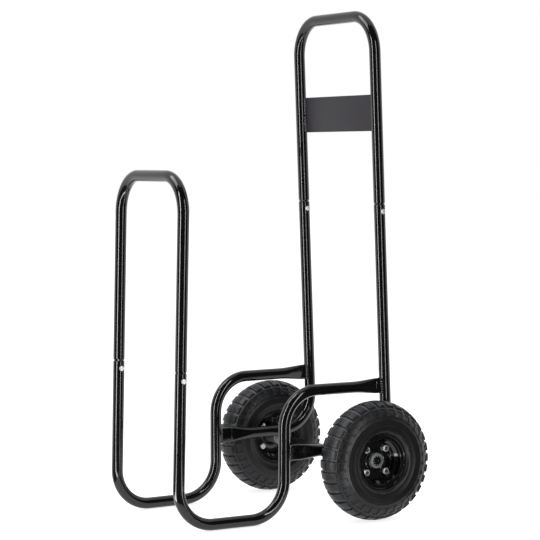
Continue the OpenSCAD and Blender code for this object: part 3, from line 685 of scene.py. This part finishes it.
MATERIALS = {
    "frame_black": finish_of("gloss_black_coat", (0.004, 0.004, 0.0045), 0.11, specular=0.5,
                             peel=(260.0, 0.001), dust=(60.0, 0.02), mottle=0.1,
                             rough_swing=0.01),
    "plate_satin": finish_of("satin_grey_coat", (0.031, 0.0275, 0.0355), 0.5, specular=0.3,
                             peel=(900.0, 0.008), dust=(30.0, 0.04), mottle=0.06, mottle_scale=9.0),
    # Coated weld: the ripples' crests are lighter, worn paint and partly a painted highlight.
    "weld_black": finish_of("coated_weld", (0.006, 0.006, 0.0065), 0.14, specular=0.6,
                            peel=(500.0, 0.01), dust=(80.0, 0.05), wear_and_highlight=(200.0, 0.51, 0.56, 0.7),
                            wear_and_highlight_colour=(0.06, 0.06, 0.062)),
    "axle_black": finish_of("satin_black_coat", (0.004, 0.004, 0.0045), 0.25, specular=0.4,
                            peel=(500.0, 0.004), dust=(60.0, 0.04)),
    # Zinc: painted shade in the hollows of heads, nuts and washers.
    "bright_zinc": finish_of("bright_zinc", (0.9, 0.91, 0.92), 0.36, metallic=0.55,
                             peel=(900.0, 0.006), dust=(90.0, 0.1), mottle=0.08, mottle_scale=120.0,
                             painted_hollow_shade=(90.0, 0.49, 0.45, 0.85)),
    "dull_zinc": finish_of("dull_zinc", (0.36, 0.375, 0.38), 0.42, metallic=0.6,
                           peel=(600.0, 0.01), dust=(90.0, 0.1), mottle=0.2, mottle_scale=90.0,
                           painted_hollow_shade=(90.0, 0.49, 0.45, 0.7)),
    # Darker zinc for the threads past the nuts: painted shade.
    "thread_zinc": finish_of("painted_shade_thread_zinc", (0.12, 0.125, 0.13), 0.45, metallic=0.85,
                             peel=(600.0, 0.01), dust=(90.0, 0.1), mottle=0.2, mottle_scale=90.0),
    # Moulded rubber: painted shade in the tread's hollows, and worn edges that are partly a painted
    # highlight.
    "tyre_rubber": finish_of("moulded_rubber", (0.0066, 0.0068, 0.0084), 0.38, specular=0.35,
                             peel=(700.0, 0.015), dust=(26.0, 0.08), dust_colour=(0.12, 0.13, 0.16),
                             wear_and_highlight=(55.0, 0.512, 0.54, 0.9), wear_and_highlight_colour=(0.12, 0.13, 0.155),
                             painted_hollow_shade=(60.0, 0.492, 0.465, 1.0), mottle=0.3, mottle_scale=14.0),
    "tube_rubber": finish_of("butyl_rubber", (0.02, 0.02, 0.021), 0.7, specular=0.3,
                             peel=(500.0, 0.05)),
    "rim_black": finish_of("gloss_black_paint", (0.003, 0.003, 0.0035), 0.07, specular=0.5,
                           peel=(200.0, 0.0015), dust=(70.0, 0.03), rough_swing=0.015),
    "cage_steel": finish_of("pressed_cage_steel", (0.12, 0.12, 0.13), 0.4, metallic=1.0,
                            peel=(400.0, 0.02)),
    "roller_steel": finish_of("ground_steel", (0.6, 0.61, 0.62), 0.2, metallic=1.0,
                              peel=(800.0, 0.005)),
    "valve_brass": finish_of("plated_brass", (0.62, 0.59, 0.52), 0.33, metallic=0.8,
                             peel=(600.0, 0.02), dust=(90.0, 0.2)),
    "cap_plastic": finish_of("matt_cap", (0.014, 0.014, 0.015), 0.5, specular=0.3,
                             peel=(900.0, 0.03)),
}


def dress(piece, slot, body, *nodes):
    """Gives a piece its finish, its body and the nodes that it stands for."""
    piece.data.materials.clear()
    piece.data.materials.append(MATERIALS[slot])
    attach(piece, body)
    if nodes:
        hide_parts(*nodes)


# ---- Frame ----

FRAME = "frame"
for side, word in ((1, "right"), (-1, "left")):
    dress(side_member(word + "_side_bar", front_path(), RAIL_FLAT, side),
          "frame_black", FRAME, word + "_side_tube")
    dress(side_member(word + "_upright_bar", rear_path(), STAY_FLAT, side),
          "frame_black", FRAME, word + "_upright")

dress(hoop("front_hoop_bar", FRONT_LEG_X, (FRONT_TOP - SEAM_FRONT) / math.cos(FRONT_LEAN),
           FRONT_PLANE), "frame_black", FRAME, "front_hoop")
dress(hoop("handle_hoop_bar", REAR_X, (REAR_TOP - SEAM_REAR) / math.cos(REAR_LEAN), HANDLE_PLANE),
      "frame_black", FRAME, "handle_hoop")

# Beads at the pressed ends: one is modelled, and a copy goes on each side of each flat.
bead_side = PRESS_T / 2 + 0.9
bead_back = math.sqrt(TUBE_R ** 2 - bead_side ** 2)
end_bead = weld_bead("end_bead", 3.9, PRESS_H, 6)
for side, word in ((1, "right"), (-1, "left")):
    places = []
    for z in (-bead_side, bead_side):
        rail = Matrix.Translation((rear_s(RAIL_Z) - bead_back, RAIL_Z, z))
        places.append(side_plane(side) @ rail @ Matrix.Rotation(REAR_LEAN, 4, "Z"))
        places.append(side_plane(side) @ Matrix.Translation((FOOT_LEN + bead_back, STAY_Z, z)))
    dress(laid(word + "_end_beads", end_bead, places), "weld_black", FRAME, word + "_frame_welds")
throw_away(end_bead)

# Beads between the axle and the stays that sit on it.
axle_bead = weld_bead("axle_bead", 4.0, 20.0, 8)
stay_x = FRONT_X + AXLE_Y * math.tan(TOE)
lying = Matrix.Rotation(math.pi / 2, 4, "Z")
places = [Matrix.Translation(Vector((x, AXLE_Y - MID_Y + y, AXLE_Z + AXLE_R)) * MM) @ lying
          @ Matrix.Scale(MM, 4) for x in (-stay_x, stay_x) for y in (-AXLE_R, AXLE_R)]
dress(laid("axle_beads", axle_bead, places), "weld_black", FRAME, "axle_welds")
throw_away(axle_bead)

# Back plate, with the beads that join it to the legs.
plate_low = (PLATE_LOW - SEAM_REAR) / math.cos(REAR_LEAN)
plate_up = PLATE_H / math.cos(REAR_LEAN)
corner_x = REAR_X - math.sqrt(TUBE_R ** 2 - (PLATE_BACK - PLATE_T / 2) ** 2)
bpy.ops.object.select_all(action="DESELECT")
bpy.ops.mesh.primitive_cube_add(size=1, location=(0, plate_low + plate_up / 2, -PLATE_BACK),
                                scale=(2 * (REAR_X - TUBE_R - PLATE_FIT), plate_up, PLATE_T))
plate = new_piece("back_panel")
bpy.ops.mesh.bevel(offset=0.35, offset_type="OFFSET", segments=3, affect="EDGES")
closed_up(plate)
settle(plate, HANDLE_PLANE)
dress(plate, "plate_satin", FRAME, "back_plate")
# A stitch bead's back is squashed, so that it ends inside the sheet.
stitch = weld_bead("stitch", STITCH_R, STITCH_LEN, 7)
bpy.ops.object.mode_set(mode="EDIT")
pick(stitch, lambda p: p.co.z < 0)
bpy.ops.transform.resize(value=(1, 1, 0.25), center_override=(0, 0, 0))
leave()
stitch_mid = STITCH_LEN / 2 + 0.25
places = [HANDLE_PLANE @ Matrix.Translation((x, plate_low + rise, PLATE_T / 2 - PLATE_BACK))
          for x in (-corner_x, corner_x) for rise in (stitch_mid, plate_up - stitch_mid)]
dress(laid("plate_stitches", stitch, places), "weld_black", FRAME, "plate_welds")
throw_away(stitch)

# Axle, with broken ends and centre marks.
half = WHEEL_X + HUB_OUT + AXLE_TAIL
rod = turned("axle_rod", [(0, -half + 1.5), (1.2, -half + 0.9), (2.2, -half), (AXLE_R - 1, -half),
                          (AXLE_R, -half + 1), (AXLE_R, half - 1), (AXLE_R - 1, half), (2.2, half),
                          (1.2, half - 0.9), (0, half - 1.5)], 48)
settle(rod, across(1, (0, AXLE_Y, AXLE_Z)))
dress(rod, "axle_black", FRAME, "axle")

# Two plain washers on each side, between stay and hub.
washer = turned("washer", [(8.1, 0.3), (8.4, 0), (14.7, 0), (15, 0.3), (15, WASHER_T - 0.3),
                           (14.7, WASHER_T), (8.4, WASHER_T), (8.1, WASHER_T - 0.3)], 64)
places = [across(side, (side * (WHEEL_X + HUB_IN - i * (WASHER_T + 0.1)), AXLE_Y, AXLE_Z))
          for side in (1, -1) for i in (1, 2)]
dress(laid("stay_washers", washer, places), "dull_zinc", FRAME, "axle_washers")
throw_away(washer)


def toothed_washer(name):
    """A domed disc whose ten teeth grip the axle."""
    teeth, span, half_tooth = 10, 6, 9.1
    now = 15.9
    bpy.ops.object.select_all(action="DESELECT")
    bpy.ops.mesh.primitive_circle_add(vertices=teeth * span, radius=now)
    piece = new_piece(name)
    for radius, rise in ((15.0, 0.0), (13.6, 0.15), (11.7, 0.35)):
        run_on((0, 0, rise))
        bpy.ops.transform.resize(value=(radius / now, radius / now, 1))
        now = radius
    root = [p.index for p in picked(piece)]

    def in_tooth(p):
        step = math.degrees(math.atan2(p.co.y, p.co.x)) % (360 / teeth)
        return p.index in root and (step < half_tooth or step > 360 / teeth - half_tooth)

    pick(piece, in_tooth)
    for radius in (10.0, 8.15):
        run_on((0, 0, 0.12))
        bpy.ops.transform.resize(value=(radius / now, radius / now, 1),
                                 center_override=(0, 0, 0.7))
        now = radius
    closed_up(piece)
    thick = piece.modifiers.new("sheet", "SOLIDIFY")
    thick.thickness, thick.offset = 0.75, -1
    apply_all(piece)
    break_edges(piece, 0.12, 50, 1)
    return piece


retainer = toothed_washer("retainer")
low = min(v.co.z for v in retainer.data.vertices)
places = [across(side, (side * (WHEEL_X + HUB_OUT + 0.2), AXLE_Y, AXLE_Z))
          @ Matrix.Translation((0, 0, -low)) for side in (1, -1)]
dress(laid("axle_caps_toothed", retainer, places), "dull_zinc", FRAME, "axle_retainers")
throw_away(retainer)

# Bolts and nuts of the plugged joints.
small_bolt = bolt("small_bolt", JOINT_BOLT, 2 * TUBE_R + nut_height(JOINT_BOLT) + BOLT_TAIL)
small_nut = nut("small_nut", JOINT_BOLT)
for word, x, y, z, lean in (
        ("front", FRONT_LEG_X, FRONT_LEG_Y, SEAM_FRONT, FRONT_LEAN),
        ("rear", REAR_X, SEAM_REAR_Y, SEAM_REAR, -REAR_LEAN)):
    y -= BOLT_DROP * math.sin(lean)
    z -= BOLT_DROP * math.cos(lean)
    heads, nuts = [], []
    for side in (1, -1):
        here = across(side, (side * x, y, z))
        inward = Matrix.Rotation(math.pi, 4, "Y")
        heads.append(here @ Matrix.Translation((0, 0, TUBE_R)) @ inward)
        nuts.append(here @ Matrix.Translation((0, 0, -TUBE_R)) @ inward)
    dress(laid(word + "_bolts", small_bolt, heads), "bright_zinc", FRAME, word + "_joint_bolts")
    dress(laid(word + "_nuts", small_nut, nuts), "bright_zinc", FRAME, word + "_joint_nuts")
throw_away(small_bolt)
throw_away(small_nut)

# ---- Wheels, drawn round Z with the outer side up ----

CARCASS_C, CARCASS_R, CAVITY_R, CROWN_C, CROWN_R = 84.5, 41.0, 36.5, 80.0, 50.0
FLOOR, GAP_FLOOR, POCKET_FLOOR, BAR_H = 0.5, 1.8, 0.3, 2.0
PITCHES = 32


def crown(x):
    return CROWN_C + math.sqrt(CROWN_R ** 2 - x * x), x


def shell(x, above):
    return CARCASS_C + math.sqrt((CARCASS_R + above) ** 2 - x * x), x


def on_shell(degrees, above=0.0, radius=CARCASS_R):
    a = math.radians(degrees)
    return CARCASS_C + (radius + above) * math.cos(a), (radius + above) * math.sin(a)


def pushed(point, above):
    """A point of the section, moved straight in or out until it is this high over the carcass."""
    reach = math.hypot(point[0] - CARCASS_C, point[1])
    share = (CARCASS_R + above) / reach
    return CARCASS_C + (point[0] - CARCASS_C) * share, point[1] * share


def tread(x):
    """A tread point on a block, in the slot at its end, and on the floor between blocks."""
    return crown(x), pushed(crown(x), FLOOR), pushed(crown(x), GAP_FLOOR)


def tyre_half():
    """Half of the section, from the middle of the tread to the middle of the cavity.

    Each point comes three times: in line with a block, with the slot at its end, and with a gap.
    """
    rows = [tread(x) for x in (0.0, 2.0, 2.9, 3.9)]
    rows += [(shell(x, FLOOR),) * 3 for x in (3.9, 5.7)]
    rows += [tread(x) for x in (5.7, 6.7, 9.2, 11.7, 12.7)]
    rows += [(shell(x, FLOOR),) * 3 for x in (12.7, 14.3)]
    rows += [tread(x) for x in (14.3, 15.3, 20.0, 24.6, 25.6)]
    rows += [(shell(x, FLOOR), shell(x, FLOOR), shell(x, GAP_FLOOR)) for x in (25.9, 27.4)]
    rows += [(shell(x, BAR_H),) * 3 for x in (27.6, 29.0, 30.4)]
    for degrees in (47.8, 52.0, 56.0, 60.0, 64.0, 66.5):
        bar = on_shell(degrees, BAR_H + (0.25 if degrees > 66 else 0))
        rows.append((on_shell(degrees, POCKET_FLOOR), bar, bar))
    rows.append((on_shell(68.2, 0.1), on_shell(67.6, 0.3), on_shell(67.6, 0.3)))
    for degrees, above in ((71, 0.0), (76, 0.0), (77, 0.25), (79, 0.25), (80, 0.0), (85, 0.0),
                           (90, -0.02), (95, 0.0), (96, 0.2), (98.5, 0.2), (99.5, 0.0),
                           (105, 0.0), (111, 0.0), (112.5, 0.5), (116.5, 0.6), (119, 0.1),
                           (123, -0.5)):
        rows.append((on_shell(degrees, above),) * 3)
    for point in ((61.2, 32.6), (60.7, 31.4), (60.7, 27.4), (60.0, 26.4), (51.6, 26.4),
                  (50.9, 25.6), (50.9, 17.8), (51.8, 17.0), (57.5, 17.0), (70.0, 33.2)):
        rows.append((point,) * 3)
    for degrees in (105, 90, 75, 60, 45, 30, 15, 0):
        rows.append((on_shell(degrees, radius=CAVITY_R),) * 3)
    return rows


def step_across(piece, section, before, after, angle):
    """Moves the ring's points from one of the three heights to another."""
    ring_points = [p.index for p in picked(piece)]
    radial = Vector((math.cos(angle), math.sin(angle), 0))
    for places in section:
        start, end = places[before], places[after]
        if math.dist(start, end) < 0.001:
            continue
        spot = radial * start[0] + Vector((0, 0, start[1]))
        pick(piece, lambda p: p.index in ring_points and (p.co - spot).length < 0.03)
        step = radial * (end[0] - start[0]) + Vector((0, 0, end[1] - start[1]))
        bpy.ops.transform.translate(value=tuple(step))
    pick(piece, lambda p: p.index in ring_points)


def tyre(name):
    """One pitch is swung, stepped down into the gap and up again, and then copied round."""
    half = tyre_half()
    section = half + [tuple((r, -z) for r, z in places) for places in reversed(half[1:-1])]
    step = math.tau / (PITCHES * 6)
    piece = drawn(name, [places[0] for places in section])
    bpy.ops.mesh.select_all(action="SELECT")
    block, slot, gap = 0, 1, 2
    angle = 0.0
    for shares, before, after in (((0.8, 0.8, 0.4), block, slot), ((0.35,), slot, gap),
                                  ((1.3,), gap, slot), ((0.35,), slot, block),
                                  ((0.4, 0.8, 0.8), None, None)):
        for share in shares:
            swing((0, 0, 0), step * share, 1)
            angle += step * share
        if before is not None:
            run_on((0, 0, 0))
            step_across(piece, section, before, after, angle)
    bpy.ops.mesh.select_all(action="SELECT")
    bpy.ops.mesh.remove_doubles(threshold=0.003)
    bpy.ops.mesh.select_all(action="SELECT")
    bpy.ops.mesh.spin(steps=PITCHES, dupli=True, angle=math.tau, center=(0, 0, 0), axis=(0, 0, 1),
                      use_auto_merge=False)
    closed_up(piece, 0.004)
    break_edges(piece, 0.3, 38, 2)
    return piece


def rim_half(name, way):
    """A pressed half, with its rolled lip; way is 1 for the outer half and -1 for the inner."""
    section = [(HUB_R, 0), (44, 0), (44, 12), (50.8, 17), (50.8, 26.2), (51.1, 26.5), (60, 26.5),
               (60, 30.4), (59.4, 31), (58.6, 31), (58, 30.4), (58, 29.3), (57.2, 28.5),
               (49.8, 28.5), (48.8, 27.5), (48.8, 18), (42.6, 13.4), (42, 12.2), (42, 3.6),
               (40.4, 2), (25.2, 2), (24.2, 2.7), (22.2, 2.7), (21.2, 2), (HUB_R, 2)]
    piece = turned(name, [(r, way * z) for r, z in section], 144)
    break_edges(piece, 0.5, 20, 3)
    return piece


def hub_tube(name):
    piece = turned(name, [(13, HUB_IN + 0.4), (13.4, HUB_IN), (16, HUB_IN), (HUB_R, HUB_IN + 0.5),
                          (HUB_R, HUB_OUT - 0.5), (16, HUB_OUT), (13.4, HUB_OUT),
                          (13, HUB_OUT - 0.4), (13, HUB_OUT - 20.1), (11.5, HUB_OUT - 20.1),
                          (11.5, HUB_IN + 20.1), (13, HUB_IN + 20.1)], 96)
    return piece


def hub_bead(name):
    """A ring bead between hub and disc, in forty ripples."""
    ripples, radius = 40, 3.0
    bpy.ops.object.select_all(action="DESELECT")
    bpy.ops.mesh.primitive_circle_add(vertices=12, radius=radius, location=(HUB_R, 0, RIM_T),
                                      rotation=(math.pi / 2, 0, 0))
    piece = new_piece(name)
    angle, scale_now = 0.0, 1.0
    for k in range(ripples):
        for share, size in ((0.4, 1.0), (0.35, 0.95), (0.25, 0.8)):
            turn = math.tau / ripples * share
            swing((0, 0, 0), turn, 1)
            angle += turn
            centre = (HUB_R * math.cos(angle), HUB_R * math.sin(angle), RIM_T)
            widen(size / scale_now, centre)
            scale_now = size
    closed_up(piece, 0.4)
    return piece


VALVE_BEND, VALVE_LEN, VALVE_X, VALVE_REACH = 6.0, 14.0, 8.0, 42.0


def valve_stem(name):
    """A bent, plated stem: one leg along the radius, one along the axle with a threaded end."""
    bend, r, bore, bore_depth = VALVE_BEND, 3.5, 1.5, 4.0
    radial_leg, plain, end = 9.0, 5.0, VALVE_BEND + VALVE_LEN
    piece = ring(name, r, flat_vector(-radial_leg, 0), 0.0, 28)
    run_on(flat_vector(radial_leg, 0))
    swing((0, bend, 0), math.pi / 2, 10)
    run_on(flat_vector(0, plain))
    here = bend + plain
    for _ in range(6):
        for share, step in ((0.86, 0.35), (0.86, 0.15), (1.0, 0.4), (1.0, 0.3)):
            run_on((0, step, 0))
            here += step
            now = max((p.co - Vector((bend, here, 0))).length for p in picked(piece))
            widen(r * share / now, (bend, here, 0))
    run_on((0, end - here, 0))
    run_on((0, 0, 0))
    widen(bore / r, (bend, end, 0))
    run_on((0, -bore_depth, 0))
    bpy.ops.mesh.edge_face_add()
    last_open_ring()
    bpy.ops.mesh.edge_face_add()
    return closed_up(piece)


def valve_cap(name):
    """A ribbed plastic cap, drawn along Z with its closed end down."""
    ribs, middle_z = 16, 2.6
    bpy.ops.object.select_all(action="DESELECT")
    bpy.ops.mesh.primitive_cylinder_add(vertices=ribs * 3, radius=4.9, depth=7.8,
                                        location=(0, 0, middle_z))
    piece = new_piece(name)
    bpy.ops.mesh.select_mode(type="FACE")
    faces = bmesh.from_edit_mesh(piece.data)
    for face in faces.faces:
        middle = face.calc_center_median()
        around = math.degrees(math.atan2(middle.y, middle.x)) % (360 / ribs)
        face.select_set(abs(face.normal.z) < 0.5 and around < 360 / ribs / 3)
    faces.select_flush_mode()
    bmesh.update_edit_mesh(piece.data)
    bpy.ops.mesh.inset(thickness=0.25, use_individual=True)
    bpy.ops.transform.resize(value=(0.93, 0.93, 0.97), center_override=(0, 0, middle_z))
    bpy.ops.mesh.select_mode(type="VERT")
    closed_up(piece)
    break_edges(piece, 0.3, 40, 2)
    return piece


big_bolt = bolt("big_bolt", RIM_BOLT, 2 * RIM_T + nut_height(RIM_BOLT) + BOLT_TAIL)
big_nut = nut("big_nut", RIM_BOLT)
patterns = {
    "tyre": (tyre("tread_pattern"), "tyre_rubber", 30),
    "outer_rim": (rim_half("outer_half_pattern", 1), "rim_black", 35),
    "inner_rim": (rim_half("inner_half_pattern", -1), "rim_black", 35),
    "hub": (hub_tube("hub_pattern"), "dull_zinc", 35),
    "hub_weld": (hub_bead("hub_bead_pattern"), "rim_black", 60),
    "valve_stem": (valve_stem("stem_pattern"), "valve_brass", 35),
    "valve_cap": (valve_cap("cap_pattern"), "cap_plastic", 35),
}
# The stem is drawn flat; this stands it in the wheel's plane, its long leg pointing inboard.
stem_stand = Matrix.Translation((-VALVE_REACH, 0, -VALVE_X)) @ Matrix((
    (1, 0, 0, 0), (0, 0, 1, 0), (0, -1, 0, 0), (0, 0, 0, 1)))
cap_stand = Matrix.Translation((VALVE_BEND - VALVE_REACH, 0, -VALVE_X - VALVE_BEND - VALVE_LEN))
own_stand = {"valve_stem": stem_stand, "valve_cap": cap_stand}
wheel_words = {"tyre": "tyre_body", "outer_rim": "rim_outer_half", "inner_rim": "rim_inner_half",
               "hub": "hub_sleeve", "hub_weld": "hub_ring_bead", "valve_stem": "valve_tube",
               "valve_cap": "valve_cover"}
for side, word in ((1, "right"), (-1, "left")):
    body = word + "_wheel"
    place = wheel_place(side)
    for node, (pattern, slot, smooth) in patterns.items():
        piece = copy_of(pattern, word + "_" + wheel_words[node])
        settle(piece, place @ own_stand.get(node, Matrix.Identity(4)), smooth)
        dress(piece, slot, body, word + "_" + node)
    quarters = [place @ Matrix.Rotation(math.radians(45 + i * 90), 4, "Z")
                @ Matrix.Translation((BOLT_CIRCLE_R, 0, 0)) for i in range(4)]
    bolts = laid(word + "_rim_screws", big_bolt,
                 [q @ Matrix.Translation((0, 0, -RIM_T)) for q in quarters])
    dress(bolts, "bright_zinc", body, word + "_rim_bolts")
    # The threads that stand out of the nuts get a darker zinc than the heads: painted shade at the
    # nuts' centres.
    bolts.data.materials.append(MATERIALS["thread_zinc"])
    for face in bolts.data.polygons:
        face.material_index = int(abs(face.center.x) > (WHEEL_X + RIM_T + 1.0) * MM)
    nuts = laid(word + "_rim_hexes", big_nut,
                [q @ Matrix.Translation((0, 0, RIM_T)) for q in quarters])
    dress(nuts, "bright_zinc", body, word + "_rim_nuts")
for pattern, _, _ in patterns.values():
    throw_away(pattern)
throw_away(big_bolt)
throw_away(big_nut)

# Nodes that stay as they are, sealed inside the wheels.
for word in ("right", "left"):
    for node, slot in (("inner_tube", "tube_rubber"), ("bearing_cages", "cage_steel"),
                       ("bearing_rollers", "roller_steel")):
        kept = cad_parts[word + "_" + node]
        kept.data.materials.clear()
        kept.data.materials.append(MATERIALS[slot])

# ---- Floor, light and camera ----

def empty_tree(owner):
    owner.use_nodes = True
    owner.node_tree.nodes.clear()
    return owner.node_tree


def looked_at(tree):
    """1 where the camera looks, straight, in a reflection or through glass; 0 for other light."""
    path = tree.nodes.new("ShaderNodeLightPath")
    seen = path.outputs["Is Camera Ray"]
    for way in ("Is Glossy Ray", "Is Transmission Ray"):
        more = put(tree, "ShaderNodeMath", operation="MAXIMUM")
        tree.links.new(seen, more.inputs[0])
        tree.links.new(path.outputs[way], more.inputs[1])
        seen = more.outputs["Value"]
    return seen


def plain_floor():
    """A matt floor that keeps the shadow and glows just enough to look white."""
    bpy.ops.object.select_all(action="DESELECT")
    bpy.ops.mesh.primitive_plane_add(size=40, location=(0, 0, -0.0006))
    floor = bpy.context.object
    floor.name = "studio_floor"
    bpy.ops.object.transform_apply(location=True, rotation=True, scale=True)
    material = bpy.data.materials.new("pale_floor")
    tree = empty_tree(material)
    out = tree.nodes.new("ShaderNodeOutputMaterial")
    matt = put(tree, "ShaderNodeBsdfDiffuse", Color=(0.8, 0.8, 0.8, 1.0))
    glow = put(tree, "ShaderNodeEmission", Color=(1, 1, 1, 1), Strength=0.8)
    mixed = tree.nodes.new("ShaderNodeMixShader")
    both = tree.nodes.new("ShaderNodeAddShader")
    link = tree.links.new
    link(matt.outputs["BSDF"], both.inputs[0])
    link(glow.outputs["Emission"], both.inputs[1])
    link(looked_at(tree), mixed.inputs["Fac"])
    link(matt.outputs["BSDF"], mixed.inputs[1])
    link(both.outputs["Shader"], mixed.inputs[2])
    link(mixed.outputs["Shader"], out.inputs["Surface"])
    floor.data.materials.append(material)


def white_surroundings(fill):
    """White to the camera and in reflections, a softer fill for everything else."""
    world = bpy.data.worlds.new("studio")
    bpy.context.scene.world = world
    tree = empty_tree(world)
    out = tree.nodes.new("ShaderNodeOutputWorld")
    soft = put(tree, "ShaderNodeBackground", Color=(1, 1, 1, 1), Strength=fill)
    white = put(tree, "ShaderNodeBackground", Color=(1, 1, 1, 1), Strength=1.0)
    mixed = tree.nodes.new("ShaderNodeMixShader")
    link = tree.links.new
    link(looked_at(tree), mixed.inputs["Fac"])
    link(soft.outputs["Background"], mixed.inputs[1])
    link(white.outputs["Background"], mixed.inputs[2])
    link(mixed.outputs["Shader"], out.inputs["Surface"])


def lamp(name, at, aim, size, brightness, only_shine=False):
    """A soft box at a place, facing a point, with its radiance given.

    One that only shines is seen in the gloss and doesn't light matt surfaces.
    """
    data = bpy.data.lights.new(name, "AREA")
    data.shape = "RECTANGLE"
    data.size, data.size_y = size
    data.energy = brightness * size[0] * size[1] * math.pi
    box = bpy.data.objects.new(name, data)
    bpy.context.scene.collection.objects.link(box)
    box.location = at
    box.rotation_euler = (Vector(aim) - Vector(at)).to_track_quat("-Z", "Y").to_euler()
    box.visible_camera = False
    box.visible_diffuse = not only_shine
    return box


VIEW_FROM = math.radians(59.3)


def round_the_cart(degrees, distance, height):
    """A place at an angle to the right of the camera's, seen from the cart."""
    a = VIEW_FROM + math.radians(degrees)
    return Vector((math.sin(a) * distance, -math.cos(a) * distance, height))


def black_cloth():
    """A dark cloth on the camera's side, which shows only in the gloss, between the strips."""
    hole, reach, lift = 0.42, 5.2, 0.003
    wall, roof_rise, roof_hole = 4.5, 1.4, 1.8
    toward = round_the_cart(0, 1.0, 0.0)
    material = bpy.data.materials.new("black_cloth")
    material.use_nodes = True
    matt = material.node_tree.nodes["Principled BSDF"]
    matt.inputs["Base Color"].default_value = (0.09, 0.09, 0.095, 1.0)
    matt.inputs["Roughness"].default_value = 1.0
    bpy.ops.object.select_all(action="DESELECT")
    bpy.ops.mesh.primitive_circle_add(vertices=96, radius=hole, location=(0, 0, lift))
    cloth = new_piece("studio_cloth")
    run_on((0, 0, 0))
    widen(reach / hole, (0, 0, lift))
    run_on((0, 0, wall))
    run_on((0, 0, roof_rise))
    widen(roof_hole / reach, (0, 0, lift + wall + roof_rise))
    pick(cloth, lambda p: p.co.dot(toward) < 0)
    bpy.ops.mesh.delete(type="VERT")
    leave()
    cloth.data.materials.append(material)
    cloth.visible_camera = cloth.visible_diffuse = cloth.visible_shadow = False


plain_floor()
white_surroundings(0.5)
black_cloth()
# Two upright strips, each with a card on the floor that carries its reflection down.
for name, degrees, width, brightness in (("left_strip", -47, 0.2, 20.0),
                                         ("right_strip", 33, 0.17, 12.0)):
    lamp(name, round_the_cart(degrees, 1.5, 0.88), (0, 0, 0.88), (width, 1.74), brightness, True)
    spot = round_the_cart(degrees, 0.95, 0.01)
    card = lamp(name + "_card", spot, spot + Vector((0, 0, 1)), (width * 0.6, 1.1),
                brightness * 0.7, True)
    card.rotation_euler.z = VIEW_FROM + math.radians(degrees)
lamp("overhead", round_the_cart(-80, 1.3, 2.5), (0, 0, 0.4), (1.3, 1.3), 5.0)

scene = bpy.context.scene
scene.view_settings.view_transform = "Standard"
camera_data = bpy.data.cameras.new("camera")
camera_data.lens, camera_data.sensor_width = 127.76, 36.0
camera = bpy.data.objects.new("camera", camera_data)
scene.collection.objects.link(camera)
camera.location = (3.65098, -2.13921, 0.78735)
pitch = math.radians(3.39)
look = Vector((-math.sin(VIEW_FROM) * math.cos(pitch), math.cos(VIEW_FROM) * math.cos(pitch),
               -math.sin(pitch)))
camera.rotation_euler = look.to_track_quat("-Z", "Y").to_euler()
scene.camera = camera
